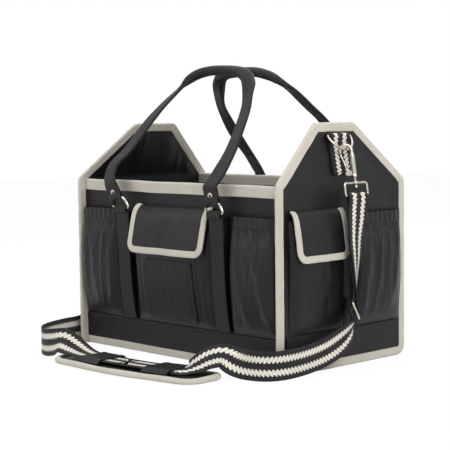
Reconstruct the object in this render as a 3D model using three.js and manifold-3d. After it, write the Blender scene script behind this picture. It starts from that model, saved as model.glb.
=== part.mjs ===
import * as THREE from "three";
import { mergeVertices } from "three/addons/utils/BufferGeometryUtils.js";
import Module from "manifold-3d";

// Grooming tote bag. Millimetres, +Z up, length along X, front wall towards -Y.

const wasm = await Module();
wasm.setup();
const { Manifold, Mesh } = wasm;

// Whole bag.
const bagLength = 400;
const bagWidth = 250;
const shoulderHeight = 241;
const rimHeight = 240;
const peakHeight = 318;
const peakWidth = 77;
const rightLean = 15;
const leftLean = 26;
const cornerRadius = 14;
const shoulderRadius = 9;

// Sheet, tape and fits.
const wall = 3;
const tape = 0.9;
const seat = 0.3;
const bindingWidth = 12;
const rimBinding = 15.5;
const bandThick = 1.5;
const frontBandTop = 46;
const endBandTop = 50;
const overrun = 40;
const weld = 0.001;

// Pockets, flaps and patch.
const cloth = 1.8;
const frontPocketTop = 200;
const flapPocketTop = 196;
const gatherProud = 18;
const sidePocketIn = 108.5;
const centrePocketHalf = 79.5;
const centreProud = 20;
const endProud = 12;
const endGatherProud = 15;
const endFlapPocket = { left: -104, right: -3 };
const endGatherPocket = { left: 17, right: 112 };
const endFlapRight = -6;
const flapHinge = 207;
const flapDrop = 64;
const flapHalf = 75;
const frontFlapProud = 25;
const endFlapProud = 17.5;
const flapThick = 1.6;
const flapBinding = 9;
const flapRadius = 15;
const hingeStand = 1.8;
const hingeRadius = 1.15;
const patchWidth = 98;
const patchFoot = 52;
const patchTop = 136;
const patchThick = 1.6;

// Handles, their rings and tabs.
const webWidth = 25;
const webThick = 3.8;
const tabAt = 94;
const ringStand = 18.3;
const ringHeight = 203;
const ringRadius = 16;
const ringWire = 1.7;
const ringFillet = 3;
const foldWall = 1.7;
const footRise = 31;
const rivetRise = 23.6;
const rivetShank = 1.6;
const rivetHead = 4.2;
const rivetCap = 1.2;
const gripWidth = 21;
const gripThick = 15;
const handleRise = 195;

// Shoulder strap, its rings, hooks and pad.
const strapWidth = 38;
const strapPly = 1.7;
const endRingAt = 60;
const endRingStand = 4;
const endRingRadius = 21.8;
const endRingWire = 1.65;
const endRingFillet = 1.9;
const endRingTilt = THREE.MathUtils.degToRad(26);
const tabTail = 9;
const hookSwing = THREE.MathUtils.degToRad(32);
const hookAside = -2;
const hookPlay = 0.7;
const rightHookTilt = THREE.MathUtils.degToRad(9);
const leftHookTilt = THREE.MathUtils.degToRad(16);
const eyeRadius = 7.5;
const hookRod = 2.3;
const barrelRadius = 3.2;
const barrelTop = -5;
const barrelFoot = -35;
const stud = 1.6;
const studBall = 2.7;
const gatePivot = -29;
const gateThick = 2.4;
const loopTop = -42;
const loopDrop = 16;
const loopWire = 1.75;
const loopHalf = 21.5;
const bossRadius = 3.9;
const slideWidth = 44;
const slideHeight = 26;
const slideWire = 1.5;
const slideTilt = THREE.MathUtils.degToRad(22);
const padLength = 264;
const padWidth = 68;
const padHeight = 10;
const padCorner = 24;
const padBinding = 8;
const padLoop = 40;

// Derived faces.
const halfLength = bagLength / 2;
const halfWidth = bagWidth / 2;
const cover = tape + seat;
const endFace = halfLength - cover;
const endInner = endFace - wall;
const legInner = endInner - cover;
const frontFace = halfWidth - bindingWidth - seat;
const frontInner = frontFace - wall;
const floorHeight = bindingWidth + seat;
const wallHalf = legInner - seat;
const foldRadius = ringWire + seat + foldWall;
const bag = new THREE.Group();

function solidOf(positions, index) {
  const shape = new THREE.BufferGeometry();
  shape.setAttribute("position", new THREE.Float32BufferAttribute(positions, 3));
  if (index) shape.setIndex(index);
  const merged = mergeVertices(shape, weld);
  const order = new Uint32Array(merged.index.array);
  const made = new Manifold(new Mesh({
    numProp: 3,
    vertProperties: merged.attributes.position.array,
    triVerts: order,
  }));
  if (made.volume() > 0) return made;
  for (let i = 0; i < order.length; i += 3) {
    [order[i + 1], order[i + 2]] = [order[i + 2], order[i + 1]];
  }
  return new Manifold(new Mesh({
    numProp: 3,
    vertProperties: merged.attributes.position.array,
    triVerts: order,
  }));
}

function add(name, body) {
  const made = body.getMesh();
  const shape = new THREE.BufferGeometry();
  shape.setAttribute("position", new THREE.BufferAttribute(made.vertProperties, 3));
  shape.setIndex(new THREE.BufferAttribute(made.triVerts, 1));
  shape.computeVertexNormals();
  const mesh = new THREE.Mesh(shape, new THREE.MeshStandardMaterial());
  mesh.name = name;
  bag.add(mesh);
}

// Pushes a flat outline along an axis: "x" takes (y, z), "y" takes (x, z), "z" takes (x, y).
function prism(points, axis, from, to) {
  const shape = new THREE.Shape(points.map(([a, b]) => new THREE.Vector2(a, b)));
  const body = new THREE.ExtrudeGeometry(shape, { depth: to - from, bevelEnabled: false });
  const turn = new THREE.Matrix4();
  const [x, y, z] = [[1, 0, 0], [0, 1, 0], [0, 0, 1]].map((v) => new THREE.Vector3(...v));
  if (axis === "x") turn.makeBasis(y, z, x).setPosition(from, 0, 0);
  if (axis === "y") turn.makeBasis(x, z, y.clone().negate()).setPosition(0, to, 0);
  if (axis === "z") turn.setPosition(0, 0, from);
  body.applyMatrix4(turn);
  return solidOf(body.attributes.position.array, null);
}

function box(x0, x1, y0, y1, z0, z1) {
  return Manifold.cube([x1 - x0, y1 - y0, z1 - z0]).translate([x0, y0, z0]);
}

// Joins rings of points into a closed skin, capped at both ends unless it closes on itself.
function loft(rings, closed) {
  const count = rings[0].length;
  const index = [];
  const last = closed ? rings.length : rings.length - 1;
  for (let i = 0; i < last; i++) {
    const next = (i + 1) % rings.length;
    for (let j = 0; j < count; j++) {
      const k = (j + 1) % count;
      index.push(i * count + j, i * count + k, next * count + k);
      index.push(i * count + j, next * count + k, next * count + j);
    }
  }
  if (!closed) {
    const far = (rings.length - 1) * count;
    for (let j = 1; j < count - 1; j++) {
      index.push(0, j + 1, j);
      index.push(far, far + j, far + j + 1);
    }
  }
  return solidOf(rings.flat().flatMap((p) => [p.x, p.y, p.z]), index);
}

// Round wire along flat points; the plane of the points has the given normal.
function wireLoop(points, normal, radius, sides, closed) {
  const rings = points.map((p, i) => {
    const before = points[closed ? (i + points.length - 1) % points.length : Math.max(i - 1, 0)];
    const after = points[closed ? (i + 1) % points.length : Math.min(i + 1, points.length - 1)];
    const along = after.clone().sub(before).normalize();
    const side = along.clone().cross(normal).normalize();
    return Array.from({ length: sides }, (_, j) => {
      const a = (j / sides) * 2 * Math.PI;
      const [x, y] = [radius * Math.cos(a), radius * Math.sin(a)];
      return p.clone().addScaledVector(side, x).addScaledVector(normal, y);
    });
  });
  return loft(rings, closed);
}

// Flat or rounded web along stations, each with a place, a width direction, sizes and a corner cut.
function web(stations) {
  const rings = stations.map((s, i) => {
    const before = stations[Math.max(i - 1, 0)].at;
    const after = stations[Math.min(i + 1, stations.length - 1)].at;
    const along = after.clone().sub(before).normalize();
    const across = s.across.clone().addScaledVector(along, -along.dot(s.across)).normalize();
    const out = along.clone().cross(across).normalize();
    const [w, t, c] = [s.wide / 2, s.thick / 2, s.cut];
    const corners = c > 0
      ? [[w - c, -t], [w, c - t], [w, t - c], [w - c, t], [c - w, t], [-w, t - c], [-w, c - t], [c - w, -t]]
      : [[w, -t], [w, t], [-w, t], [-w, -t]];
    return corners.map(([a, b]) => s.at.clone().addScaledVector(across, a).addScaledVector(out, b));
  });
  return loft(rings, false);
}

// The outside of a joined body, without slivers shut inside it.
function outerSkin(body) {
  return body.decompose().reduce((a, b) => (a.volume() > b.volume() ? a : b));
}

function unit(a, b) {
  const size = Math.hypot(b[0] - a[0], b[1] - a[1]);
  return [(b[0] - a[0]) / size, (b[1] - a[1]) / size];
}

// Moves every side of a counter-clockwise convex outline inwards.
function inset(points, depth) {
  return points.map((p, i) => {
    const u = unit(points[(i + points.length - 1) % points.length], p);
    const v = unit(p, points[(i + 1) % points.length]);
    const k = depth / (1 + u[0] * v[0] + u[1] * v[1]);
    return [p[0] - k * (u[1] + v[1]), p[1] + k * (u[0] + v[0])];
  });
}

function rounded(points, radii, steps) {
  return points.flatMap((p, i) => {
    const radius = radii[i];
    if (radius <= 0) return [p];
    const u = unit(p, points[(i + points.length - 1) % points.length]);
    const v = unit(p, points[(i + 1) % points.length]);
    const half = Math.acos(u[0] * v[0] + u[1] * v[1]) / 2;
    const run = radius / Math.tan(half);
    const mid = unit([0, 0], [u[0] + v[0], u[1] + v[1]]);
    const centre = [p[0] + (mid[0] * radius) / Math.sin(half), p[1] + (mid[1] * radius) / Math.sin(half)];
    const from = Math.atan2(p[1] + u[1] * run - centre[1], p[0] + u[0] * run - centre[0]);
    let sweep = Math.atan2(p[1] + v[1] * run - centre[1], p[0] + v[0] * run - centre[0]) - from;
    if (sweep > Math.PI) sweep -= 2 * Math.PI;
    if (sweep < -Math.PI) sweep += 2 * Math.PI;
    return Array.from({ length: steps + 1 }, (_, k) => {
      const a = from + (sweep * k) / steps;
      return [centre[0] + radius * Math.cos(a), centre[1] + radius * Math.sin(a)];
    });
  });
}

// A house outline across the bag: upright sides, sloping shoulders and a flat top.
function house(depth) {
  const outline = [
    [-halfWidth, 0],
    [halfWidth, 0],
    [halfWidth, shoulderHeight],
    [peakWidth / 2, peakHeight],
    [-peakWidth / 2, peakHeight],
    [-halfWidth, shoulderHeight],
  ];
  const low = Math.max(cornerRadius - depth, tape);
  const high = Math.max(shoulderRadius - depth / 2, tape);
  return rounded(inset(outline, depth), [low, low, high, high, high, high], 4);
}

// Shears what stands above the shoulders inwards.
function leaning(body, lean) {
  const low = body.trimByPlane([0, 0, -1], -shoulderHeight);
  const high = body.trimByPlane([0, 0, 1], shoulderHeight).warp((p) => {
    p[0] -= (lean * (p[2] - shoulderHeight)) / (peakHeight - shoulderHeight);
  });
  return low.add(high);
}

// Stands a body made with n out of the wall as -Y and s along the wall as X on one of the four walls.
const wallTurnShares = { front: 0, right: 0.25, rear: 0.5, left: 0.75 };

function onWall(body, name) {
  const stand = name === "front" || name === "rear" ? frontFace : endFace;
  const turn = THREE.MathUtils.radToDeg(2 * Math.PI * wallTurnShares[name]);
  return body.translate([0, -stand, 0]).rotate([0, 0, turn]);
}

function endPanel(lean) {
  return leaning(prism(house(cover), "x", endInner, endFace), lean);
}

function endBinding(lean) {
  const outer = prism(house(0), "x", legInner, halfLength);
  const window = prism(house(bindingWidth), "x", legInner - overrun, halfLength + overrun);
  const slot = prism(house(tape), "x", endInner - seat, endFace + seat);
  return leaning(outer.subtract(window).subtract(slot), lean);
}

function longWall() {
  return box(-wallHalf, wallHalf, 0, wall, cover, rimHeight - cover);
}

function rimTape() {
  const outer = box(-wallHalf, wallHalf, -cover, wall + cover, rimHeight - rimBinding, rimHeight);
  const slot = box(-overrun - wallHalf, wallHalf + overrun, -seat, wall + seat, 0, rimHeight - tape);
  return outer.subtract(slot);
}

function shell() {
  add("base_panel", box(
    seat - endInner, endInner - seat,
    seat - frontInner, frontInner - seat,
    floorHeight, floorHeight + wall,
  ));
  add("base_board", box(
    wall - endInner, endInner - wall,
    wall - frontInner, frontInner - wall,
    floorHeight + wall + seat, floorHeight + 2 * wall + seat,
  ));
  for (const name of ["front", "rear"]) {
    add(name + "_panel", onWall(longWall(), name));
    add(name + "_rim_binding", onWall(rimTape(), name));
    const band = box(-wallHalf, wallHalf, -seat - bandThick, -seat, cover + seat, frontBandTop);
    add(name + "_base_band", onWall(band, name));
  }
  for (const [name, lean] of [["right", rightLean], ["left", leftLean]]) {
    const turn = [0, 0, name === "left" ? 180 : 0];
    add(name + "_end_panel", endPanel(lean).rotate(turn));
    add(name + "_end_binding", endBinding(lean).rotate(turn));
    const half = frontFace - wall;
    const band = box(-half, half, -seat - bandThick, -seat, floorHeight, endBandTop);
    add(name + "_base_band", onWall(band, name));
  }
}

// How proud a pocket stands at each share of its height.
const gatherShares = [
  [0, 0], [0.05, 0.3], [0.16, 0.58], [0.34, 0.88], [0.55, 1], [0.75, 0.88], [0.89, 0.62], [1, 0.55],
];
const flapPocketShares = [
  [0, 0], [0.04, 0.22], [0.16, 0.5], [0.29, 0.7], [0.43, 0.85],
  [0.56, 0.95], [0.69, 1], [0.83, 0.85], [0.93, 0.65], [1, 0.475],
];

function lookUp(table, share) {
  const i = Math.max(1, table.findIndex(([at]) => at >= share));
  const [a, b] = [table[i - 1], table[i]];
  return a[1] + ((b[1] - a[1]) * (share - a[0])) / (b[0] - a[0]);
}

const sideShare = (u) => Math.sqrt(Math.max(0, 1 - Math.pow(Math.abs(u), 6)));

// An open-topped cloth bag sewn to the wall at its sides and foot.
function pocketBag(left, right, foot, mouth, columns, rows, height) {
  const [middle, half] = [(left + right) / 2, (right - left) / 2];
  const inShare = 1 - cloth / half;
  const skins = [0, 1].map((deep) => rows.map((v) => columns.map((u) => {
    const low = foot + deep * cloth;
    const proud = Math.max(0, height(u, v) - deep * cloth);
    return [middle + u * half * (deep ? inShare : 1), -seat - proud, low + v * (mouth - low)];
  })));
  const across = columns.length;
  const size = across * rows.length;
  const at = (deep, i, j) => deep * size + i * across + j;
  const index = [];
  for (let i = 0; i < rows.length - 1; i++) {
    for (let j = 0; j < across - 1; j++) {
      const q = [0, 1].map((d) => [at(d, i, j), at(d, i, j + 1), at(d, i + 1, j + 1), at(d, i + 1, j)]);
      index.push(q[0][0], q[0][1], q[0][2], q[0][0], q[0][2], q[0][3]);
      index.push(q[1][0], q[1][2], q[1][1], q[1][0], q[1][3], q[1][2]);
    }
  }
  const edge = [];
  for (let j = 0; j < across; j++) edge.push([0, j]);
  for (let i = 1; i < rows.length; i++) edge.push([i, across - 1]);
  for (let j = across - 2; j >= 0; j--) edge.push([rows.length - 1, j]);
  for (let i = rows.length - 2; i > 0; i--) edge.push([i, 0]);
  edge.forEach(([i, j], k) => {
    const [m, n] = edge[(k + 1) % edge.length];
    index.push(at(0, i, j), at(1, i, j), at(1, m, n), at(0, i, j), at(1, m, n), at(0, m, n));
  });
  return solidOf(skins.flat(2).flat(), index);
}

function columnsFor(count) {
  const inner = Array.from({ length: count }, (_, i) => -0.86 + (1.72 * i) / (count - 1));
  return [-1, -0.95, ...inner, 0.95, 1];
}

function gathered(left, right, foot, mouth, proud, folds) {
  const height = (u, v) => {
    const ripple = 1 + 0.12 * v * v * Math.cos(Math.PI * folds * (u + 1));
    return proud * lookUp(gatherShares, v) * sideShare(u) * ripple;
  };
  return pocketBag(left, right, foot, mouth, columnsFor(13), gatherShares.map(([v]) => v), height);
}

function flapPocket(left, right, foot, proud) {
  const height = (u, v) => proud * lookUp(flapPocketShares, v) * sideShare(u);
  return pocketBag(left, right, foot, flapPocketTop, columnsFor(6), flapPocketShares.map(([v]) => v), height);
}

// A flap in profile, as shares of its proudness and drop.
const flapShares = [
  [0, 0], [0.16, 0.025], [0.35, 0.085], [0.52, 0.2], [0.67, 0.39], [0.8, 0.59], [0.93, 0.81], [1, 1],
];

function flapRibbon(proud, thick, half, middle) {
  const line = flapShares.map(([out, down]) => [
    -hingeStand - out * (proud - hingeStand),
    flapHinge - down * flapDrop,
  ]);
  const sides = [1, -1].map((side) => line.map((p, i) => {
    const [a, b] = [line[Math.max(i - 1, 0)], line[Math.min(i + 1, line.length - 1)]];
    const along = unit(a, b);
    return [p[0] - (side * along[1] * thick) / 2, p[1] + (side * along[0] * thick) / 2];
  }));
  return prism([...sides[0], ...sides[1].reverse()], "x", middle - half, middle + half);
}

function flapOutline(half, middle, depth) {
  const outline = [
    [middle - half, flapHinge - flapDrop],
    [middle + half, flapHinge - flapDrop],
    [middle + half, flapHinge + flapDrop],
    [middle - half, flapHinge + flapDrop],
  ];
  const low = Math.max(flapRadius - depth, tape);
  return prism(rounded(inset(outline, depth), [low, low, 0, 0], 5), "y", -overrun, overrun);
}

function flapSheet(proud, half, middle) {
  const sheet = flapRibbon(proud, flapThick, half, middle).intersect(flapOutline(half, middle, cover));
  const hem = Manifold.cylinder(2 * (half - cover), hingeRadius, hingeRadius, 12, true).rotate([0, 90, 0]);
  return sheet.add(hem.translate([middle, -hingeStand, flapHinge]));
}

function flapTape(proud, half, middle) {
  const ring = flapOutline(half, middle, 0).subtract(flapOutline(half, middle, flapBinding));
  const sheet = flapRibbon(proud, flapThick + 2 * seat, half, middle);
  const slot = sheet.intersect(flapOutline(half, middle, tape));
  const low = box(middle - half, middle + half, -overrun, 0, 0, flapHinge - 2 * flapThick);
  return flapRibbon(proud, flapThick + 2 * cover, half, middle).intersect(ring).subtract(slot).intersect(low);
}

function frontPockets() {
  const foot = frontBandTop + seat;
  const edge = wallHalf - seat;
  const side = (left, right) => onWall(gathered(left, right, foot, frontPocketTop, gatherProud, 4), "front");
  add("front_left_pocket", side(-edge, -sidePocketIn));
  add("front_right_pocket", side(sidePocketIn, edge));
  const centre = flapPocket(-centrePocketHalf, centrePocketHalf, foot, centreProud);
  add("front_flap_pocket", onWall(centre, "front"));
  add("front_flap", onWall(flapSheet(frontFlapProud, flapHalf, 0), "front"));
  add("front_flap_binding", onWall(flapTape(frontFlapProud, flapHalf, 0), "front"));
  const rise = flapPocketTop - foot;
  const marks = [patchFoot, ...flapPocketShares.map(([v]) => foot + v * rise), patchTop]
    .filter((z) => z >= patchFoot && z <= patchTop)
    .sort((a, b) => a - b);
  const face = marks.map((z) => [-2 * seat - centreProud * lookUp(flapPocketShares, (z - foot) / rise), z]);
  const back = face.map(([y, z]) => [y - patchThick, z]).reverse();
  add("leather_patch", onWall(prism([...face, ...back], "x", -patchWidth / 2, patchWidth / 2), "front"));
}

// One sheet across the rear wall: three full pockets, flat under the two ring tabs.
function rearPocket() {
  const edge = wallHalf - seat;
  const spans = [[-edge, -sidePocketIn], [-centrePocketHalf, centrePocketHalf], [sidePocketIn, edge]];
  const columns = spans.flatMap(([a, b]) => columnsFor(7).map((u) => (a + b) / 2 + (u * (b - a)) / 2));
  const height = (share, v) => {
    const s = share * edge;
    const span = spans.find(([a, b]) => s > a - weld && s < b + weld);
    const local = span ? (2 * s - span[0] - span[1]) / (span[1] - span[0]) : 1;
    const sheet = Math.abs(s) < edge - weld && v > 0 ? cloth : 0;
    return Math.max(sheet, gatherProud * lookUp(gatherShares, v) * sideShare(local));
  };
  const foot = frontBandTop + seat;
  const across = columns.map((s) => s / edge);
  const up = gatherShares.map(([v]) => v);
  add("rear_pocket", onWall(pocketBag(-edge, edge, foot, frontPocketTop, across, up, height), "rear"));
}

function endPockets(name) {
  const foot = endBandTop + seat;
  const half = (endFlapRight - endFlapPocket.left) / 2;
  const middle = (endFlapRight + endFlapPocket.left) / 2;
  const { left, right } = endFlapPocket;
  const gather = endGatherPocket;
  add(name + "_flap_pocket", onWall(flapPocket(left, right, foot, endProud), name));
  add(name + "_flap", onWall(flapSheet(endFlapProud, half, middle), name));
  add(name + "_flap_binding", onWall(flapTape(endFlapProud, half, middle), name));
  add(name + "_gathered_pocket", onWall(
    gathered(gather.left, gather.right, foot, frontPocketTop, endGatherProud, 5), name,
  ));
}

// A D-ring in its own plane: straight bar on the X axis, arch towards +Y.
function ringPoints(radius, fillet) {
  const start = Math.asin(fillet / radius);
  const half = [];
  for (let k = 0; k <= 2; k++) {
    const a = -Math.PI / 2 + (k * Math.PI) / 4;
    half.push([radius - fillet + fillet * Math.cos(a), fillet + fillet * Math.sin(a)]);
  }
  for (let k = 1; k <= 6; k++) {
    const a = start + (k * (Math.PI / 2 - start)) / 6;
    half.push([radius * Math.cos(a), radius * Math.sin(a)]);
  }
  const other = half.slice(0, -1).reverse().map(([x, y]) => [-x, y]);
  return [...half, ...other].map(([x, y]) => new THREE.Vector3(x, y, 0));
}

function ringBody(radius, fillet, wire, sides) {
  return wireLoop(ringPoints(radius, fillet), new THREE.Vector3(0, 0, 1), wire, sides, true);
}

function placed(body, x, y, z, at) {
  const m = new THREE.Matrix4().makeBasis(x, y, z).setPosition(at);
  return body.transform(m.elements);
}

// Web tab over the pocket seam: a wedge with a folded eye for the bar of the ring.
const tabShares = [[0, 0.2], [0.19, 0.5], [0.43, 0.69], [0.7, 0.8], [0.94, 0.92]];

function ringTab(under) {
  const foot = frontBandTop + seat;
  const rise = ringHeight - foot;
  const face = tabShares.map(([up, out]) => [-out * ringStand, foot + up * rise]);
  const back = [[-under, foot + 0.82 * rise], [-under, foot]];
  const wedge = prism([...face, ...back], "x", -webWidth / 2, webWidth / 2);
  const rod = (radius, y, z, length) => Manifold.cylinder(length, radius, radius, 20, true)
    .rotate([0, 90, 0]).translate([0, y, z]);
  const low = face[face.length - 1];
  const neck = Manifold.hull([
    rod(foldRadius, -ringStand, ringHeight, webWidth),
    rod(foldRadius / 2, low[0] + foldRadius / 2, low[1] - foldRadius, webWidth),
  ]);
  return wedge.add(neck).subtract(rod(ringWire + seat, -ringStand, ringHeight, webWidth + overrun));
}

// Each handle end: the ring's outward tilt and the sideways lean of the web, in shares of a right angle.
const footTurnShares = {
  front: { left: [0.1333, -0.2444], right: [0.0889, -0.0444] },
  rear: { left: [0.0556, -0.1111], right: [0.0556, -0.2111] },
};

function footFrame(wallName, end) {
  const [tilt, lean] = footTurnShares[wallName][end].map((share) => (share * Math.PI) / 2);
  const side = end === "left" ? -1 : 1;
  const u0 = new THREE.Vector3(1, 0, 0);
  const v0 = new THREE.Vector3(0, -Math.sin(tilt), Math.cos(tilt));
  const v = v0.clone().multiplyScalar(Math.cos(lean)).addScaledVector(u0, Math.sin(lean));
  const u = u0.clone().multiplyScalar(Math.cos(lean)).addScaledVector(v0, -Math.sin(lean));
  const at = new THREE.Vector3(side * tabAt, -frontFace - ringStand, ringHeight);
  return { u0, v0, u, v, w: u0.clone().cross(v0), at };
}

// The folded end of a handle: web wrapped round the arch of the ring, pierced for the rivet.
function handleFoot(frame) {
  const reach = Math.asin((webWidth / 2 - seat) / ringRadius);
  const arc = Array.from({ length: 9 }, (_, k) => {
    const a = -reach * 0.94 + (k * reach * 1.88) / 8;
    return new THREE.Vector3(ringRadius * Math.sin(a), ringRadius * Math.cos(a), 0);
  });
  const roll = wireLoop(arc, new THREE.Vector3(0, 0, 1), foldRadius, 8, false);
  const low = arc.map((p) => [p.x, p.y]);
  const slab = prism(
    [...low, [webWidth / 2 - seat, footRise], [seat - webWidth / 2, footRise]], "z",
    (seat - webThick) / 2, (webThick - seat) / 2,
  );
  const hole = Manifold.cylinder(overrun, rivetShank + seat, rivetShank + seat, 12, true);
  const body = roll.add(slab).subtract(hole.translate([0, rivetRise, 0]));
  const turned = placed(body, frame.u, frame.v, frame.w, frame.at);
  const clear = ringBody(ringRadius, ringFillet, ringWire + seat, 8);
  return turned.subtract(placed(clear, frame.u0, frame.v0, frame.w, frame.at));
}

function rivet(frame) {
  const gap = webThick / 2 + seat;
  const shank = Manifold.cylinder(2 * gap + rivetCap, rivetShank, rivetShank, 12, true);
  const cap = Manifold.cylinder(rivetCap, rivetHead, rivetHead * 0.8, 14);
  const body = shank.add(cap.translate([0, 0, gap])).add(cap.rotate([180, 0, 0]).translate([0, 0, -gap]));
  return placed(body.translate([0, rivetRise, 0]), frame.u, frame.v, frame.w, frame.at);
}

// Handle centre lines as shares of the bag's length and width and of the handle's rise, and the web's shape.
const handleShares = {
  front: [
    [-0.281, -0.536, 0.2196, 0], [-0.283, -0.5, 0.3061, 0],
    [-0.256, -0.432, 0.4112, 0], [-0.222, -0.34, 0.5904, 0],
    [-0.195, -0.26, 0.7189, 0], [-0.163, -0.19, 0.8252, 0], [-0.138, -0.145, 0.8993, 0.6],
    [-0.1, -0.118, 0.9426, 1], [-0.05, -0.106, 0.9599, 1],
    [0, -0.104, 0.9611, 1], [0.05, -0.104, 0.9574, 1], [0.1, -0.112, 0.9426, 1], [0.137, -0.126, 0.9092, 0.6],
    [0.166, -0.155, 0.8499, 0],
    [0.19, -0.2, 0.7757, 0], [0.214, -0.262, 0.667, 0], [0.233, -0.34, 0.5409, 0], [0.243, -0.42, 0.3988, 0],
    [0.238, -0.5, 0.2567, 0],
  ],
  rear: [
    [-0.256, -0.49, 0.2814, 0], [-0.257, -0.42, 0.405, 0],
    [-0.236, -0.325, 0.5842, 0], [-0.203, -0.25, 0.7016, 0],
    [-0.162, -0.19, 0.8128, 0], [-0.12, -0.14, 0.8919, 0.6],
    [-0.075, -0.116, 0.9327, 1], [-0.02, -0.108, 0.9525, 1],
    [0.05, -0.11, 0.9512, 1], [0.115, -0.118, 0.9438, 1], [0.158, -0.136, 0.9191, 0.6],
    [0.197, -0.176, 0.8375, 0], [0.222, -0.228, 0.7263, 0],
    [0.226, -0.296, 0.5965, 0], [0.219, -0.352, 0.4841, 0],
    [0.204, -0.43, 0.3432, 0], [0.202, -0.49, 0.2443, 0],
  ],
};

// Level width direction of the web in the two legs of each handle.
const legTurns = {
  front: [[-0.91, 0.41], [-0.97, -0.24]],
  rear: [[-1, 0], [-0.96, -0.28]],
};

function handle(wallName) {
  const frames = ["left", "right"].map((end) => footFrame(wallName, end));
  const feet = frames.map((f) => [footRise - 1.5 * tape, footRise + webThick].map((rise) =>
    f.at.clone().addScaledVector(f.v, rise)));
  const path = handleShares[wallName];
  const middle = path.map(([x, y, up]) => {
    return new THREE.Vector3(x * bagLength, y * bagWidth, ringHeight + up * handleRise);
  });
  const points = [...feet[0], ...middle, ...feet[1].reverse()];
  const grip = [0, 0, ...path.map((p) => p[3]), 0, 0];
  const stations = points.map((at, i) => {
    const [before, after] = [points[Math.max(i - 1, 0)], points[Math.min(i + 1, points.length - 1)]];
    const along = after.clone().sub(before).normalize();
    const level = new THREE.Vector3(along.y, -along.x, 0);
    const [startTurn, endTurn] = legTurns[wallName];
    if (i < 5) level.set(...startTurn, 0);
    if (i > points.length - 6) level.set(...endTurn, 0);
    if (i < 2) level.copy(frames[0].u).negate();
    if (i > points.length - 3) level.copy(frames[1].u).negate();
    return {
      at,
      across: level.normalize(),
      wide: THREE.MathUtils.lerp(webWidth, gripWidth, grip[i]),
      thick: THREE.MathUtils.lerp(webThick, gripThick, grip[i]),
      cut: THREE.MathUtils.lerp(tape, gripThick / 3, grip[i]),
    };
  });
  return outerSkin(frames.reduce((body, f) => body.add(handleFoot(f)), web(stations)));
}

function carrying(wallName) {
  const turn = wallName === "rear" ? [0, 0, 180] : [0, 0, 0];
  const flip = wallName === "rear" ? { left: "right", right: "left" } : { left: "left", right: "right" };
  const under = wallName === "rear" ? 2 * seat + cloth : seat;
  add(wallName + "_handle", handle(wallName).rotate(turn));
  for (const end of ["left", "right"]) {
    const frame = footFrame(wallName, end);
    const label = wallName + "_" + flip[end];
    const side = end === "left" ? -1 : 1;
    add(label + "_ring_tab", onWall(ringTab(under).translate([side * tabAt, 0, 0]), wallName));
    const ring = placed(ringBody(ringRadius, ringFillet, ringWire, 7), frame.u0, frame.v0, frame.w, frame.at);
    add(label + "_ring", ring.rotate(turn));
    add(label + "_rivet", rivet(frame).rotate(turn));
  }
}

// Frame of a leaning end panel: s across, t up the slope, n out of it.
function slope(lean) {
  const size = Math.hypot(lean, peakHeight - shoulderHeight);
  const t = new THREE.Vector3(-lean / size, 0, (peakHeight - shoulderHeight) / size);
  const s = new THREE.Vector3(0, 1, 0);
  return { s, t, n: s.clone().cross(t), at: new THREE.Vector3(endFace, 0, shoulderHeight) };
}

function endRingTab() {
  const ply = 2 * strapPly;
  const fold = endRingWire + seat + strapPly;
  const slab = box(-strapWidth / 2, strapWidth / 2, -seat - ply, -seat, tabTail, endRingAt - 2 * fold);
  const rod = (radius, y, z, length) => Manifold.cylinder(length, radius, radius, 20, true)
    .rotate([0, 90, 0]).translate([0, y, z]);
  const neck = Manifold.hull([
    rod(fold, -endRingStand, endRingAt, strapWidth),
    box(-strapWidth / 2, strapWidth / 2, -seat - ply, -seat, endRingAt - 3 * fold, endRingAt - 2 * fold),
  ]);
  return slab.add(neck).subtract(rod(endRingWire + seat, -endRingStand, endRingAt, strapWidth + overrun));
}

// The hook in its own plane: eye centre at the origin, gate side towards +X, hanging towards -Y.
function hookBody() {
  const points = [[-eyeRadius, barrelTop - hookRod]];
  for (let k = 0; k <= 10; k++) {
    const a = Math.PI - (k * Math.PI) / 10;
    points.push([eyeRadius * Math.cos(a), eyeRadius * Math.sin(a)]);
  }
  points.push([eyeRadius, -hookRod]);
  const bend = points.map(([x, y]) => new THREE.Vector3(x, y, 0));
  const bow = wireLoop(bend, new THREE.Vector3(0, 0, 1), hookRod, 10, false);
  const post = (radius, from, to, sides) => Manifold.cylinder(from - to, radius, radius, sides)
    .rotate([90, 0, 0]).translate([-eyeRadius, from, 0]);
  const ball = Manifold.sphere(studBall, 12).translate([-eyeRadius, loopTop - bossRadius / 2 - studBall, 0]);
  const lug = (side) => {
    const ear = Manifold.cylinder(tape, barrelRadius, barrelRadius, 14).translate([0, gatePivot, 0]);
    const arm = box(-eyeRadius, 0, gatePivot - barrelRadius, gatePivot + barrelRadius, 0, tape);
    return ear.add(arm).translate([0, 0, side > 0 ? gateThick / 2 + seat : -gateThick / 2 - seat - tape]);
  };
  const pin = Manifold.cylinder(gateThick + 2 * (seat + tape), stud * 0.75, stud * 0.75, 12, true);
  return bow
    .add(post(barrelRadius, barrelTop, barrelFoot, 14))
    .add(post(stud, barrelFoot + stud, loopTop - bossRadius / 2 - studBall, 12))
    .add(ball)
    .add(lug(1))
    .add(lug(-1))
    .add(pin.translate([0, gatePivot, 0]))
    .subtract(gateBay());
}

// Room in the barrel for the foot of the gate.
function gateBay() {
  const bay = Manifold.cylinder(gateThick + 2 * seat, barrelRadius + seat, barrelRadius + seat, 20, true);
  const kept = Manifold.cylinder(gateThick + 4 * seat, stud * 0.75, stud * 0.75, 12, true);
  return bay.subtract(kept).translate([0, gatePivot, 0]);
}

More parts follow.
